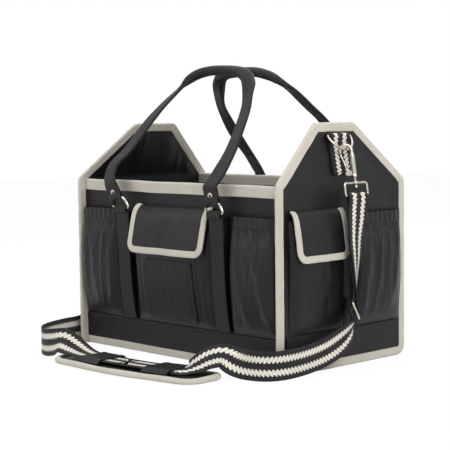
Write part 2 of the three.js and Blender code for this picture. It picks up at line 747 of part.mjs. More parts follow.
function gate() {
  const top = -hookRod - seat;
  const eye = Manifold.cylinder(gateThick, barrelRadius, barrelRadius, 16, true).translate([0, gatePivot, 0]);
  const lever = Manifold.hull([
    Manifold.cylinder(gateThick, stud, stud, 12, true).translate([0, gatePivot + stud, 0]),
    box(eyeRadius - stud, eyeRadius + stud, top - 2 * stud, top, -gateThick / 2, gateThick / 2),
  ]);
  const hole = Manifold.cylinder(overrun, stud * 0.75 + seat, stud * 0.75 + seat, 14, true);
  const reach = Math.hypot(eyeRadius - hookRod, top - gatePivot);
  const sweep = Manifold.cylinder(2 * gateThick, reach, reach, 96, true).translate([0, gatePivot, 0]);
  return eye.add(lever.intersect(sweep)).subtract(hole.translate([0, gatePivot, 0]));
}

// Swivel loop for the web: a boss round the stud and a wire frame below it.
function swivelLoop() {
  const foot = loopTop - loopDrop;
  const cut = loopWire * 0.8;
  const frame = [
    [cut - loopHalf, foot], [loopHalf - cut, foot], [loopHalf, foot + cut], [loopHalf, loopTop - cut],
    [loopHalf - cut, loopTop], [cut - loopHalf, loopTop], [-loopHalf, loopTop - cut], [-loopHalf, foot + cut],
  ].map(([x, y]) => new THREE.Vector3(x, y, 0));
  const boss = Manifold.cylinder(bossRadius, bossRadius, bossRadius, 16, true).rotate([90, 0, 0]);
  const hole = Manifold.cylinder(overrun / 4, stud + seat, stud + seat, 14, true).rotate([90, 0, 0]);
  return wireLoop(frame, new THREE.Vector3(0, 0, 1), loopWire, 8, true)
    .add(boss.translate([0, loopTop, 0]))
    .subtract(hole.translate([0, loopTop, 0]));
}

function endFittings(name, lean, hookTilt) {
  const turn = [0, 0, name === "left" ? 180 : 0];
  const f = slope(lean);
  const panelFrame = [f.s, f.n.clone().negate(), f.t, f.at];
  add(name + "_end_tab", placed(endRingTab(), ...panelFrame).rotate(turn));
  const bar = f.at.clone().addScaledVector(f.n, endRingStand).addScaledVector(f.t, endRingAt);
  const down = f.t.clone().multiplyScalar(-Math.cos(endRingTilt)).addScaledVector(f.n, Math.sin(endRingTilt));
  const ring = ringBody(endRingRadius, endRingFillet, endRingWire, 8);
  add(name + "_end_ring", placed(ring, f.s, down, f.s.clone().cross(down), bar).rotate(turn));

  const lowest = bar.clone().addScaledVector(down, endRingRadius).addScaledVector(f.s, hookAside);
  const h = new THREE.Vector3(-Math.sin(hookTilt), 0, Math.cos(hookTilt));
  const side = new THREE.Vector3(-Math.cos(hookSwing), -Math.sin(hookSwing), 0);
  const p = side.addScaledVector(h, -side.dot(h)).normalize();
  const w = p.clone().cross(h);
  const drop = eyeRadius - hookRod - endRingWire - seat - hookPlay;
  const eye = lowest.addScaledVector(h, -drop);
  add(name + "_hook", placed(hookBody(), p, h, w, eye).rotate(turn));
  add(name + "_hook_gate", placed(gate(), p, h, w, eye).rotate(turn));
  const axis = eye.clone().addScaledVector(p, -eyeRadius);
  const across = new THREE.Vector3(0, 1, 0);
  add(name + "_swivel_loop", placed(swivelLoop(), across, h, across.clone().cross(h), axis).rotate(turn));
  return { h, bar: axis.addScaledVector(h, loopTop - loopDrop), name, turn };
}

// A doubled web end folded round the foot of the swivel loop.
function foldedEnd(end, stations) {
  const fold = loopWire + seat + strapPly;
  const out = new THREE.Vector3(0, 1, 0).cross(end.h);
  const rod = (radius, length) => placed(
    Manifold.cylinder(length, radius, radius, 18, true),
    end.h, out, new THREE.Vector3(0, 1, 0), end.bar,
  );
  const width = strapWidth - 2 * seat;
  const throat = end.bar.clone().addScaledVector(end.h, -2 * fold);
  const piece = new THREE.Vector3(0, 1, 0);
  const first = { at: throat, across: piece, wide: width, thick: 2 * strapPly, cut: 0 };
  const low = web([{ ...first, at: throat.clone().addScaledVector(end.h, -strapPly) }, first]);
  const body = web([first, ...stations]).add(Manifold.hull([rod(fold, width), low]));
  return body.subtract(rod(loopWire + seat, width + overrun));
}

function slideFrame(at, across, along) {
  const out = across.clone().cross(along).normalize();
  const up = along.clone().multiplyScalar(Math.cos(slideTilt)).addScaledVector(out, -Math.sin(slideTilt));
  return { across, up, out: across.clone().cross(up), at };
}

// Three-bar slide: frame of wire with a middle bar.
function slide() {
  const [w, h, r] = [slideWidth / 2 - slideWire, slideHeight / 2 - slideWire, slideWire];
  const frame = rounded([[-w, -h], [w, -h], [w, h], [-w, h]], [2 * r, 2 * r, 2 * r, 2 * r], 2)
    .map(([x, y]) => new THREE.Vector3(x, y, 0));
  const bar = Manifold.cylinder(2 * w, r, r, 8, true).rotate([0, 90, 0]);
  return wireLoop(frame, new THREE.Vector3(0, 0, 1), r, 8, true).add(bar);
}

// Free strap routes: shares of the bag's length, width and shoulder height, then the width direction.
const rightEndShares = [
  [0.5555, 0.005, 0.875, 0, 1, 0], [0.5565, -0.002, 0.82, -0.05, 1, 0],
  [0.5565, -0.013, 0.726, -0.21, 0.98, 0], [0.5555, -0.018, 0.622, -0.37, 0.93, 0],
  [0.5535, -0.016, 0.52, -0.54, 0.84, 0], [0.5505, -0.012, 0.42, -0.67, 0.74, 0],
];
const slideShare = [0.5475, -0.008, 0.324, -0.71, 0.7, 0];
const rightShares = [
  [0.545, -0.045, 0.2, -0.62, 0.72, -0.28], [0.5415, -0.12, 0.15, -0.47, 0.62, -0.6],
  [0.539, -0.22, 0.114, -0.25, 0.4, -0.87], [0.5365, -0.34, 0.093, -0.08, 0.15, -0.98],
  [0.531, -0.46, 0.083, 0, 0, -1], [0.519, -0.548, 0.0815, 0, 0, -1],
  [0.4925, -0.6, 0.0815, 0, 0, -1], [0.44, -0.62, 0.0815, 0, 0, -1],
  [0.395, -0.628, 0.09, 0, -0.05, -1], [0.353, -0.655, 0.118, 0.05, -0.38, -0.9],
  [0.325, -0.708, 0.106, 0.15, -0.72, -0.62], [0.303, -0.762, 0.075, 0.25, -0.92, -0.25],
  [0.278, -0.803, 0.051, 0.22, -0.97, -0.02], [0.215, -0.829, 0.0481, 0.17, -0.98, 0],
  [0.16, -0.844, 0.0481, 0.17, -0.98, 0], [0.1, -0.856, 0.0481, 0.1, -0.99, 0],
  [0.05, -0.862, 0.0481, 0.05, -1, 0],
];
const leftShares = [
  [0.045, -0.863, 0.0481, 0.05, -1, 0], [-0.02, -0.867, 0.0481, 0.02, -1, 0],
  [-0.082, -0.868, 0.0481, 0, -1, 0], [-0.14, -0.867, 0.0483, 0, -1, 0],
  [-0.19, -0.868, 0.058, 0, -0.98, -0.12], [-0.235, -0.878, 0.083, 0.02, -0.88, -0.42],
  [-0.28, -0.895, 0.109, 0.03, -0.6, -0.76], [-0.325, -0.906, 0.093, 0, -0.2, -0.97],
  [-0.38, -0.895, 0.0815, 0, 0, -1], [-0.43, -0.855, 0.0815, 0, 0, -1],
  [-0.468, -0.79, 0.0815, 0, 0, -1], [-0.5, -0.69, 0.0815, 0, 0, -1],
  [-0.524, -0.57, 0.08, 0.1, 0, -1], [-0.538, -0.45, 0.08, 0.2, 0.05, -0.97],
  [-0.546, -0.34, 0.102, 0.18, 0.25, -0.95],
  [-0.55, -0.23, 0.155, 0.1, 0.5, -0.86], [-0.552, -0.14, 0.235, 0.05, 0.75, -0.65],
  [-0.554, -0.08, 0.33, 0, 0.92, -0.4], [-0.555, -0.045, 0.43, 0, 0.98, -0.15],
  [-0.556, -0.028, 0.54, 0, 1, 0], [-0.556, -0.02, 0.64, 0, 1, 0],
];
const leftEndShares = [
  [-0.5565, -0.01, 0.82, 0, 1, 0], [-0.557, -0.014, 0.74, 0, 1, 0], [-0.5565, -0.019, 0.657, 0, 1, 0],
];

function station([x, y, z, a, b, c], ply, wide) {
  return {
    at: new THREE.Vector3(x * bagLength, y * bagWidth, z * shoulderHeight),
    across: new THREE.Vector3(a, b, c).normalize(),
    wide,
    thick: ply * strapPly,
    cut: 0,
  };
}

// Fills in between hand-chosen stations so that the web turns smoothly.
function smooth(stations, steps) {
  const curve = (pick) => new THREE.CatmullRomCurve3(stations.map(pick), false, "catmullrom", 0.5);
  const place = curve((s) => s.at);
  const across = curve((s) => s.across);
  const count = (stations.length - 1) * steps;
  return Array.from({ length: count + 1 }, (_, i) => {
    const first = stations[0];
    return { ...first, at: place.getPoint(i / count), across: across.getPoint(i / count).normalize() };
  });
}

function strap(rightEnd, leftEnd) {
  const half = strapWidth - 2 * seat;
  const slideAt = station(slideShare, 2, half);
  const upper = rightEndShares.map((row) => station(row, 2, half));
  const along = upper[upper.length - 1].at.clone().sub(slideAt.at).normalize();
  const frame = slideFrame(slideAt.at, slideAt.across, along);
  const fold = slideWire + seat + strapPly;
  const rod = (radius, length) => placed(
    Manifold.cylinder(length, radius, radius, 18, true), frame.up, frame.out.clone(), frame.across, frame.at,
  );
  const stop = { ...slideAt, at: slideAt.at.clone().addScaledVector(along, 2 * fold) };
  const start = { ...stop, at: stop.at.clone().addScaledVector(along, strapPly) };
  const neck = Manifold.hull([rod(fold, half), web([start, stop])]);
  const rightBody = foldedEnd(rightEnd, smooth([...upper, stop], 2)).add(neck)
    .subtract(rod(slideWire + seat, half + overrun));
  add("strap_right_end", rightBody);
  add("tri_glide", placed(slide(), frame.across, frame.up, frame.out, frame.at));

  const below = [fold + 2 * tape, slideHeight / 4 + fold, slideHeight / 2 + fold].map((drop) => (
    { ...slideAt, thick: strapPly, at: slideAt.at.clone().addScaledVector(along, -drop) }));
  add("strap_right", web(smooth([...below, ...rightShares.map((row) => station(row, 1, half))], 3)));
  const leftStations = leftShares.map((row) => station(row, 1, half));
  add("strap_left", web(smooth(leftStations, 3)));
  const rear = (s) => ({
    ...s,
    at: new THREE.Vector3(-s.at.x, -s.at.y, s.at.z),
    across: new THREE.Vector3(-s.across.x, -s.across.y, s.across.z),
  });
  const leftBody = foldedEnd(leftEnd, leftEndShares.map((row) => rear(station(row, 2, half))));
  add("strap_left_end", leftBody.rotate([0, 0, 180]));
}

// The pad follows a shallow curve on the floor.
const padLineShares = [[-0.5, -0.857], [-0.2, -0.868], [0.05, -0.862], [0.25, -0.828], [0.5, -0.785]];

function padCurve(u) {
  const x = 0.05 * bagLength + u;
  return [x, lookUp(padLineShares, Math.min(0.5, Math.max(-0.5, u / padLength))) * bagWidth];
}

function padOutline(depth) {
  const [l, w] = [padLength / 2 - depth, padWidth / 2 - depth];
  const r = Math.max(padCorner - depth, tape);
  const ring = rounded([[-l, -w], [l, -w], [l, w], [-l, w]], [r, r, r, r], 6);
  const cuts = padLineShares.slice(1, -1).map(([share]) => share * padLength);
  const full = ring.flatMap((p, i) => {
    const q = ring[(i + 1) % ring.length];
    const inner = cuts.filter((c) => (c - p[0]) * (c - q[0]) < 0 && Math.abs(p[1] - q[1]) < weld);
    inner.sort((a, b) => (a - b) * Math.sign(q[0] - p[0]));
    return [p, ...inner.map((c) => [c, p[1]])];
  });
  return full.map(([u, v]) => {
    const [x, y] = padCurve(u);
    return [x, y + v];
  });
}

function pad() {
  const core = prism(padOutline(cover), "z", cover, padHeight - cover);
  const top = padHeight - cover;
  const tunnel = padHeight + strapPly + 3 * tape / 2 + seat;
  const foot = padWidth / 2 - padBinding - tape;
  const arch = [
    [-foot, top - tape], [-foot, top + tape / 2], [-strapWidth / 2 - 2 * strapPly, tunnel + strapPly],
    [strapWidth / 2 + 2 * strapPly, tunnel + strapPly], [foot, top + tape / 2], [foot, top - tape],
  ];
  const hollow = [
    [-strapWidth / 2 - strapPly, top], [strapWidth / 2 + strapPly, top],
    [strapWidth / 2 + strapPly, tunnel], [-strapWidth / 2 - strapPly, tunnel],
  ];
  const bands = [-0.2, 0.25].map((share) => {
    const [x, y] = padCurve(share * padLength);
    const [far, near] = [1, -1].map((side) => padCurve(share * padLength + (side * padLoop) / 2));
    const turn = THREE.MathUtils.radToDeg(Math.atan2(far[1] - near[1], far[0] - near[0]));
    const band = prism(arch, "x", -padLoop / 2, padLoop / 2);
    return band.subtract(prism(hollow, "x", -overrun, overrun)).rotate([0, 0, turn]).translate([x, y, 0]);
  });
  add("shoulder_pad", bands.reduce((body, band) => body.add(band), core));
  const tapeRing = prism(padOutline(0), "z", 0, padHeight)
    .subtract(prism(padOutline(padBinding), "z", -overrun, overrun))
    .subtract(prism(padOutline(tape), "z", tape, padHeight - tape));
  add("pad_binding", tapeRing);
}

shell();
frontPockets();
rearPocket();
endPockets("right");
endPockets("left");
carrying("front");
carrying("rear");
const rightEnd = endFittings("right", rightLean, rightHookTilt);
const leftEnd = endFittings("left", leftLean, leftHookTilt);
strap(rightEnd, leftEnd);
pad();

export default bag;
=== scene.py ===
import math
import random

import bmesh
import bpy
import numpy as np
from mathutils import Matrix, Vector


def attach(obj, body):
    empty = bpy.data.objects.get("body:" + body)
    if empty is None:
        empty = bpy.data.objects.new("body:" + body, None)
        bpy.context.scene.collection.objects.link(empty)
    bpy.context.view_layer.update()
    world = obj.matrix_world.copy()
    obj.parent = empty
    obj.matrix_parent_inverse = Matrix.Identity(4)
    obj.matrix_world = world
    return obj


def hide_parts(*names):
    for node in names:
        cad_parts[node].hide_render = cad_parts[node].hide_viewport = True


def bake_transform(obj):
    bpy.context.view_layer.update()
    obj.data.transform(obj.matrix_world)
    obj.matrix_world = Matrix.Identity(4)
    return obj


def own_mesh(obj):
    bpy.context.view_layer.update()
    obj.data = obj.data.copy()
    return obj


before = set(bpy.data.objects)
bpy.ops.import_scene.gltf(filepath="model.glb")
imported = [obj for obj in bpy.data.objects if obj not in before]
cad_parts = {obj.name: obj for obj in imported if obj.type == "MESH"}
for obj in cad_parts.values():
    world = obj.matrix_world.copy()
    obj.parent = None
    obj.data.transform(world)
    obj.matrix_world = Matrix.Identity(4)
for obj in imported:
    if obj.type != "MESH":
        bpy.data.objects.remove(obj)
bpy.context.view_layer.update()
print("frame loaded:", len(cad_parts), "nodes")

mm = 0.001

# Sizes of the bag itself, in millimetres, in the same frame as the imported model.
bag = {
    "length": 400, "width": 250, "shoulder": 241, "rim": 240, "peak": 318, "peakWidth": 77,
    "lean": {"right": 15, "left": 26}, "corner": 14, "shoulderRound": 9,
    "longFace": 112.7, "endFace": 198.8, "wall": 3, "wallHalf": 194.3, "floor": 12.3,
}
wallStand = {"front": (112.7, 0), "right": (198.8, 90), "rear": (112.7, 180), "left": (198.8, 270)}


# Points and paths.

def unitOf(v):
    v = np.asarray(v, float)
    return v / np.maximum(np.linalg.norm(v, axis=-1, keepdims=True), 1e-12)


def leanAt(wall, z):
    rise = (z - bag["shoulder"]) / (bag["peak"] - bag["shoulder"])
    return bag["lean"].get(wall, 0) * np.maximum(rise, 0)


def onWall(wall, s, n, z):  # s along the wall, n out of it, z up
    stand, turn = wallStand[wall]
    x, y = s, -(n + stand - leanAt(wall, z))
    a = math.radians(turn)
    return xyz(x * math.cos(a) - y * math.sin(a), x * math.sin(a) + y * math.cos(a), z)


def curveThrough(rows, steps):  # uniform Catmull-Rom through every row
    p = np.asarray(rows, float)
    p = np.vstack([2 * p[0] - p[1], p, 2 * p[-1] - p[-2]])
    out = []
    for i in range(1, len(p) - 2):
        for k in range(steps):
            t = k / steps
            m0, m1 = (p[i + 1] - p[i - 1]) / 2, (p[i + 2] - p[i]) / 2
            a = (2 * t**3 - 3 * t**2 + 1) * p[i] + (t**3 - 2 * t**2 + t) * m0
            out.append(a + (3 * t**2 - 2 * t**3) * p[i + 1] + (t**3 - t**2) * m1)
    out.append(p[-2])
    return np.array(out)


def lengthsAlong(p):
    return np.concatenate([[0], np.cumsum(np.linalg.norm(np.diff(p, axis=0), axis=1))])


def readOff(t, run, p):  # the points of a path at distances along it
    return np.stack([np.interp(t, run, p[:, k]) for k in range(p.shape[1])], -1)


def xyz(x, y, z):
    return np.stack(np.broadcast_arrays(x, y, z), -1)


def resample(p, spacing, closed=False):
    p = np.asarray(p, float)
    if closed:
        p = np.vstack([p, p[:1]])
    run = lengthsAlong(p)
    count = max(2, int(round(run[-1] / spacing)) + 1)
    out = readOff(np.linspace(0, run[-1], count), run, p)
    return out[:-1] if closed else out


def tangents(p, closed=False):
    if closed:
        return unitOf(np.roll(p, -1, 0) - np.roll(p, 1, 0))
    return unitOf(np.gradient(p, axis=0))


def easeTable(xs, ys, q):  # smooth curve through a short table
    xs, ys = np.asarray(xs, float), np.asarray(ys, float)
    m = np.gradient(ys, xs)
    q = np.clip(q, xs[0], xs[-1])
    i = np.clip(np.searchsorted(xs, q, side="right") - 1, 0, len(xs) - 2)
    h = xs[i + 1] - xs[i]
    t = (q - xs[i]) / h
    low = (2 * t**3 - 3 * t**2 + 1) * ys[i] + (t**3 - 2 * t**2 + t) * h * m[i]
    return low + (3 * t**2 - 2 * t**3) * ys[i + 1] + (t**3 - t**2) * h * m[i + 1]


def runMap(q):  # metres over the columns and down the rows of a grid of points
    down = np.cumsum(np.linalg.norm(np.diff(q, axis=0), axis=2), 0)
    over = np.cumsum(np.linalg.norm(np.diff(q, axis=1), axis=2), 1)
    down = np.concatenate([np.zeros((1, q.shape[1])), down])
    over = np.concatenate([np.zeros((q.shape[0], 1)), over], 1)
    return np.stack([over, down], -1) * mm


def facing(p, way=(0.0, 1, 0)):  # one direction for every point of a path
    return np.broadcast_to(way, p.shape)


def awayFrom(centre, path, t, out):  # width directions of a path that point away from a centre
    across = unitOf(np.cross(t, out))
    return across * np.sign(np.sum(across * (path - centre), 1).mean())


def halfTurn(wanted):
    return np.diag([-1.0, -1.0, 1.0]) if wanted else np.eye(3)


def smoothStep(a, b, x):
    t = np.clip((np.asarray(x, float) - a) / (b - a), 0, 1)
    return t * t * (3 - 2 * t)


def bumpField(seed, count, lengthLow, lengthHigh, stretch=(1, 1)):  # a few seeded waves, about -1 to 1
    draw = random.Random(seed)
    waves = []
    for _ in range(count):
        turn = draw.uniform(0, math.tau)
        k = math.tau / draw.uniform(lengthLow, lengthHigh)
        waves.append((k * math.cos(turn) / stretch[0], k * math.sin(turn) / stretch[1],
                      draw.uniform(0, math.tau)))

    def field(a, b):
        total = 0
        for ka, kb, phase in waves:
            total = total + np.sin(ka * a + kb * b + phase)
        return total / math.sqrt(count)
    return field


def insetOutline(points, depth):
    out = []
    for i, p in enumerate(points):
        u = unitOf(np.subtract(p, points[i - 1]))
        v = unitOf(np.subtract(points[(i + 1) % len(points)], p))
        k = depth / (1 + u @ v)
        out.append((p[0] - k * (u[1] + v[1]), p[1] + k * (u[0] + v[0])))
    return out


def roundedOutline(points, radii, steps=8):
    out = []
    for i, p in enumerate(np.asarray(points, float)):
        if radii[i] <= 0:
            out.append(p)
            continue
        u = unitOf(np.subtract(points[i - 1], p))
        v = unitOf(np.subtract(points[(i + 1) % len(points)], p))
        half = math.acos(np.clip(u @ v, -1, 1)) / 2
        run = radii[i] / math.tan(half)
        centre = p + unitOf(u + v) * radii[i] / math.sin(half)
        a = math.atan2(*(p + u * run - centre)[::-1])
        b = math.atan2(*(p + v * run - centre)[::-1])
        sweep = (b - a + math.pi) % math.tau - math.pi
        for k in range(steps + 1):
            t = a + sweep * k / steps
            out.append(centre + radii[i] * np.array([math.cos(t), math.sin(t)]))
    return np.array(out)


def houseOutline(depth):
    half, top = bag["width"] / 2, bag["peakWidth"] / 2
    corners = [(-half, 0), (half, 0), (half, bag["shoulder"]), (top, bag["peak"]),
               (-top, bag["peak"]), (-half, bag["shoulder"])]
    low = max(bag["corner"] - depth, 1)
    high = max(bag["shoulderRound"] - depth / 2, 1)
    return roundedOutline(insetOutline(corners, depth), [low, low, high, high, high, high])


def houseHalf(z, depth):  # half the width of an end panel at height z
    half, top = bag["width"] / 2, bag["peakWidth"] / 2
    run, rise = half - top, bag["peak"] - bag["shoulder"]
    size = math.hypot(run, rise)
    reach = (half * rise + bag["shoulder"] * run) / size - depth
    low = np.maximum(bag["corner"] - depth, 1)
    dip = np.clip(low + depth - z, 0, low)
    foot = low - np.sqrt(np.maximum(low**2 - dip**2, 0))
    return np.minimum(half - depth - foot, (reach * size - run * z) / rise)


# Meshes.

# one stitch: share of its length, then its radius and lift as shares of the thread's radius
threadRows = [(0, 0.35, -0.5), (0.22, 1, 0.35), (0.5, 1.05, 0.7), (0.78, 1, 0.35), (1, 0.35, -0.5)]
seams = {  # pitch, stitch length and thread radius
    "tape": (3.6, 2.5, 0.26), "flapTape": (3.4, 2.4, 0.25), "padTape": (3.4, 2.4, 0.26),
    "base": (3.4, 2.3, 0.24), "hem": (3.2, 2.2, 0.22), "loop": (3.2, 2.2, 0.24), "grip": (4.0, 2.8, 0.35),
    "tabEdge": (3.0, 2.1, 0.22), "tabBox": (2.7, 1.9, 0.24), "endBox": (2.9, 2.0, 0.24),
}
boxRuns = ((0, 1), (1, 2), (2, 3), (3, 0), (0, 2), (1, 3))  # a square seam and its two diagonals


class Patchwork:  # gathers grids into one mesh with a map in metres for the weave
    def __init__(self, place=None):  # place bends flat points onto a wall or a flap
        self.points, self.faces, self.maps, self.count = [], [], [], 0
        self.place = place

    def grid(self, p, closeRows=False, closeCols=False, caps=(False, False), uv=None):
        p = np.asarray(p, float)
        rows, cols = p.shape[:2]
        if uv is None:
            q = np.concatenate([p, p[:1]], 0) if closeRows else p
            uv = runMap(np.concatenate([q, q[:, :1]], 1) if closeCols else q)
        i, j = np.meshgrid(np.arange(rows - (not closeRows)), np.arange(cols - (not closeCols)),
                           indexing="ij")
        i, j = i.ravel(), j.ravel()
        quad = [(i, j), (i, j + 1), (i + 1, j + 1), (i + 1, j)]
        ids = np.stack([(a % rows) * cols + b % cols for a, b in quad], -1) + self.count
        self.faces += ids.tolist()
        self.maps += np.stack([uv[a, b] for a, b in quad], 1).tolist()
        for end, wanted in ((0, caps[0]), (rows - 1, caps[1])):
            if wanted:
                ring = [self.count + end * cols + k for k in range(cols)]
                self.faces.append(ring[::-1] if end == 0 else ring)
                order = range(cols)[::-1] if end == 0 else range(cols)
                self.maps.append([uv[end, k].tolist() for k in order])
        self.points.append(p.reshape(-1, 3))
        self.count += rows * cols
        return self

    def slab(self, outer, inner, uv=None):  # a sheet with two skins and a closed edge
        outer, inner = np.asarray(outer, float), np.asarray(inner, float)
        rows, cols = outer.shape[:2]
        uv = runMap(outer) if uv is None else uv
        base = self.count
        self.grid(outer, uv=uv)
        self.grid(inner[:, ::-1], uv=uv[:, ::-1])
        top = lambda i, j: base + i * cols + j
        low = lambda i, j: base + rows * cols + i * cols + (cols - 1 - j)
        edge = [(0, j) for j in range(cols)] + [(i, cols - 1) for i in range(1, rows)]
        edge += [(rows - 1, j) for j in range(cols - 2, -1, -1)] + [(i, 0) for i in range(rows - 2, 0, -1)]
        for k, a in enumerate(edge):
            b = edge[(k + 1) % len(edge)]
            self.faces.append([top(*a), low(*a), low(*b), top(*b)])
            self.maps.append([uv[a].tolist(), uv[a].tolist(), uv[b].tolist(), uv[b].tolist()])
        return self

    def sweep(self, path, across, out, section, closed=False, caps=True, along=0.0):
        section = np.asarray(section, float)
        if section.ndim == 2:
            section = np.broadcast_to(section, (len(path),) + section.shape)
        p = path[:, None] + across[:, None] * section[..., :1] + out[:, None] * section[..., 1:2]
        run = lengthsAlong(np.vstack([path, path[:1]]) if closed else path) + along
        wide = np.concatenate([section, section[:, :1]], 1)
        wide = np.concatenate([wide, wide[:1]], 0) if closed else wide
        uv = np.stack([wide[..., 0], np.broadcast_to(run[:, None], wide.shape[:2])], -1) * mm
        return self.grid(p, closeRows=closed, closeCols=True, caps=(caps and not closed,) * 2, uv=uv)

    def wire(self, path, radius, sides=12, closed=False, caps=True):  # round bar along a path
        t = tangents(path, closed)
        hint = np.array([0.3, 0.5, 0.81])
        if abs(unitOf(t.mean(0)) @ hint) >= 0.9:
            hint = np.array([1.0, 0, 0])
        across = unitOf(np.cross(t[0], hint))
        frameRows = []
        for d in t:
            across = unitOf(across - d * (across @ d))
            frameRows.append(across)
        if closed:  # spread what the frame has turned over the whole loop
            end = unitOf(frameRows[-1] - t[0] * (frameRows[-1] @ t[0]))
            turn = math.atan2(np.cross(frameRows[0], end) @ t[0], frameRows[0] @ end)
            for k, d in enumerate(t):
                a = -turn * k / len(t)
                frameRows[k] = frameRows[k] * math.cos(a) + np.cross(d, frameRows[k]) * math.sin(a)
        across = np.array(frameRows)
        ring = np.linspace(0, math.tau, sides, endpoint=False)
        radius = np.broadcast_to(np.asarray(radius, float), (len(path),))
        section = np.stack([np.cos(ring), np.sin(ring)], -1)[None] * radius[:, None, None]
        return self.sweep(path, across, np.cross(t, across), section, closed, caps)

    def turned(self, profile, centre, axis, sides=24):  # lathe: rows of (distance along axis, radius)
        axis = unitOf(axis)
        side = unitOf(np.cross(axis, [0.31, 0.87, 0.39]))
        other = np.cross(axis, side)
        a = np.linspace(0, math.tau, sides, endpoint=False)
        ring = np.cos(a)[:, None] * side + np.sin(a)[:, None] * other
        p = np.array([np.asarray(centre) + axis * h + ring * max(r, 0.01) for h, r in profile])
        return self.grid(p, closeCols=True, caps=(True, True))

    def stitches(self, path, out, pitch, length, radius):  # short raised threads along a seam
        run = lengthsAlong(path)
        for a in np.arange(pitch * 0.5, run[-1] - length, pitch):
            ends = [readOff(x, run, path) for x in (a, a + length)]
            n = unitOf(readOff(a + length / 2, run, out))
            d = unitOf(ends[1] - ends[0])
            b = np.cross(n, d)
            rows = []
            for share, r, lift in threadRows:
                c = ends[0] + d * length * share + n * radius * lift
                rows.append([c + (b * math.cos(q) + n * math.sin(q)) * radius * r
                             for q in np.linspace(0, math.tau, 6, endpoint=False)])
            self.grid(np.array(rows), closeCols=True, caps=(True, True))
        return self

    def make(self, name, body, slot, finish, replaced=(), angle=40):
        mesh = bpy.data.meshes.new(name)
        points = np.vstack(self.points)
        points = self.place(points) if self.place else points
        mesh.from_pydata((points * mm).tolist(), [], self.faces)
        layer = mesh.uv_layers.new(name="weave")
        layer.data.foreach_set("uv", [x for face in self.maps for uv in face for x in uv])
        work = bmesh.new()
        work.from_mesh(mesh)
        bmesh.ops.recalc_face_normals(work, faces=work.faces)
        work.to_mesh(mesh)
        work.free()
        piece = bpy.data.objects.new(name, mesh)
        bpy.context.scene.collection.objects.link(piece)
        mesh.materials.append(look[finish])
        mesh.shade_smooth()
        mesh.set_sharp_from_angle(angle=math.radians(angle))
        if body:
            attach(piece, body)
        if replaced:
            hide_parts(*([replaced] if isinstance(replaced, str) else replaced))
        return piece


def bandSection(width, thick, round=None, flats=6, corner=4):  # a flat web with softened edges
    r = min(round if round is not None else thick / 2, thick / 2, width / 2)
    w, t = width / 2 - r, thick / 2 - r
    ring = []
    for cx, cy, a in ((w, t, 0), (-w, t, 90), (-w, -t, 180), (w, -t, 270)):
        for k in range(corner + 1):
            q = math.radians(a + 90 * k / corner)
            ring.append((cx + r * math.cos(q), cy + r * math.sin(q)))
        if a in (0, 180):
            sign = 1 if a == 0 else -1
            ring += [(sign * (w - 2 * w * k / flats), sign * (t + r)) for k in range(1, flats)]
    return np.array(ring)


# Camera, floor and light.

view = {"place": (1345.85, -1313.05, 329.17), "yaw": 46.193, "pitch": 4.685, "roll": -0.676, "lens": 107.5}


def addCamera():
    yaw, pitch, roll = (math.radians(view[k]) for k in ("yaw", "pitch", "roll"))
    look = Vector((-math.sin(yaw) * math.cos(pitch), math.cos(yaw) * math.cos(pitch), -math.sin(pitch)))
    right = Vector((math.cos(yaw), math.sin(yaw), 0))
    up = right.cross(look)
    x = math.cos(roll) * right + math.sin(roll) * up
    y = -math.sin(roll) * right + math.cos(roll) * up
    data = bpy.data.cameras.new("camera")
    data.lens, data.sensor_width = view["lens"], 36
    data.clip_end = 50
    camera = bpy.data.objects.new("camera", data)
    turn = Matrix((x, y, -look)).transposed().to_4x4()
    camera.matrix_world = Matrix.Translation(Vector(view["place"]) * mm) @ turn
    bpy.context.scene.collection.objects.link(camera)
    bpy.context.scene.camera = camera


lamps = {
    "sideBox": {"place": (1.9, -0.5, 1.5), "aim": (0.05, 0, 0.15), "size": (1.3, 1.3), "power": 37},
    "frontBox": {"place": (-0.9, -2.1, 1.6), "aim": (0, 0, 0.15), "size": (1.4, 1.0), "power": 23},
    "topBox": {"place": (0.1, 0.2, 2.4), "aim": (0, 0, 0), "size": (1.8, 1.8), "power": 26},
    "backBox": {"place": (-1.2, 1.9, 1.5), "aim": (0, 0, 0.2), "size": (1.4, 1.2), "power": 14},
}


def addLamps():
    for name, row in lamps.items():
        data = bpy.data.lights.new(name, "AREA")
        data.shape, data.energy = "RECTANGLE", row["power"]
        data.size, data.size_y = row["size"]
        lamp = bpy.data.objects.new(name, data)
        lamp.location = row["place"]
        lamp.rotation_euler = (Vector(row["aim"]) - Vector(row["place"])).to_track_quat("-Z", "Y").to_euler()
        bpy.context.scene.collection.objects.link(lamp)


studio = {"fill": 0.62, "floorSize": 9.0, "floorLow": -0.0004, "floorShade": 0.8, "floorWhite": 0.95}


def cameraLike(nodes, links):  # what the eye, a mirror or glass sees
    path = nodes.new("ShaderNodeLightPath")
    both = nodes.new("ShaderNodeMath")
    both.operation = "ADD"
    links.new(path.outputs["Is Camera Ray"], both.inputs[0])
    links.new(path.outputs["Is Glossy Ray"], both.inputs[1])
    every = nodes.new("ShaderNodeMath")
    every.operation, every.use_clamp = "ADD", True
    links.new(both.outputs[0], every.inputs[0])
    links.new(path.outputs["Is Transmission Ray"], every.inputs[1])
    return every.outputs[0]


def mixedOut(nodes, links, factor, first, second, kind):  # two surfaces mixed into a tree's output
    mix, out = nodes.new("ShaderNodeMixShader"), nodes.new(kind)
    for socket, value in zip(mix.inputs, (factor, first.outputs[0], second.outputs[0])):
        links.new(value, socket)
    links.new(mix.outputs[0], out.inputs[0])


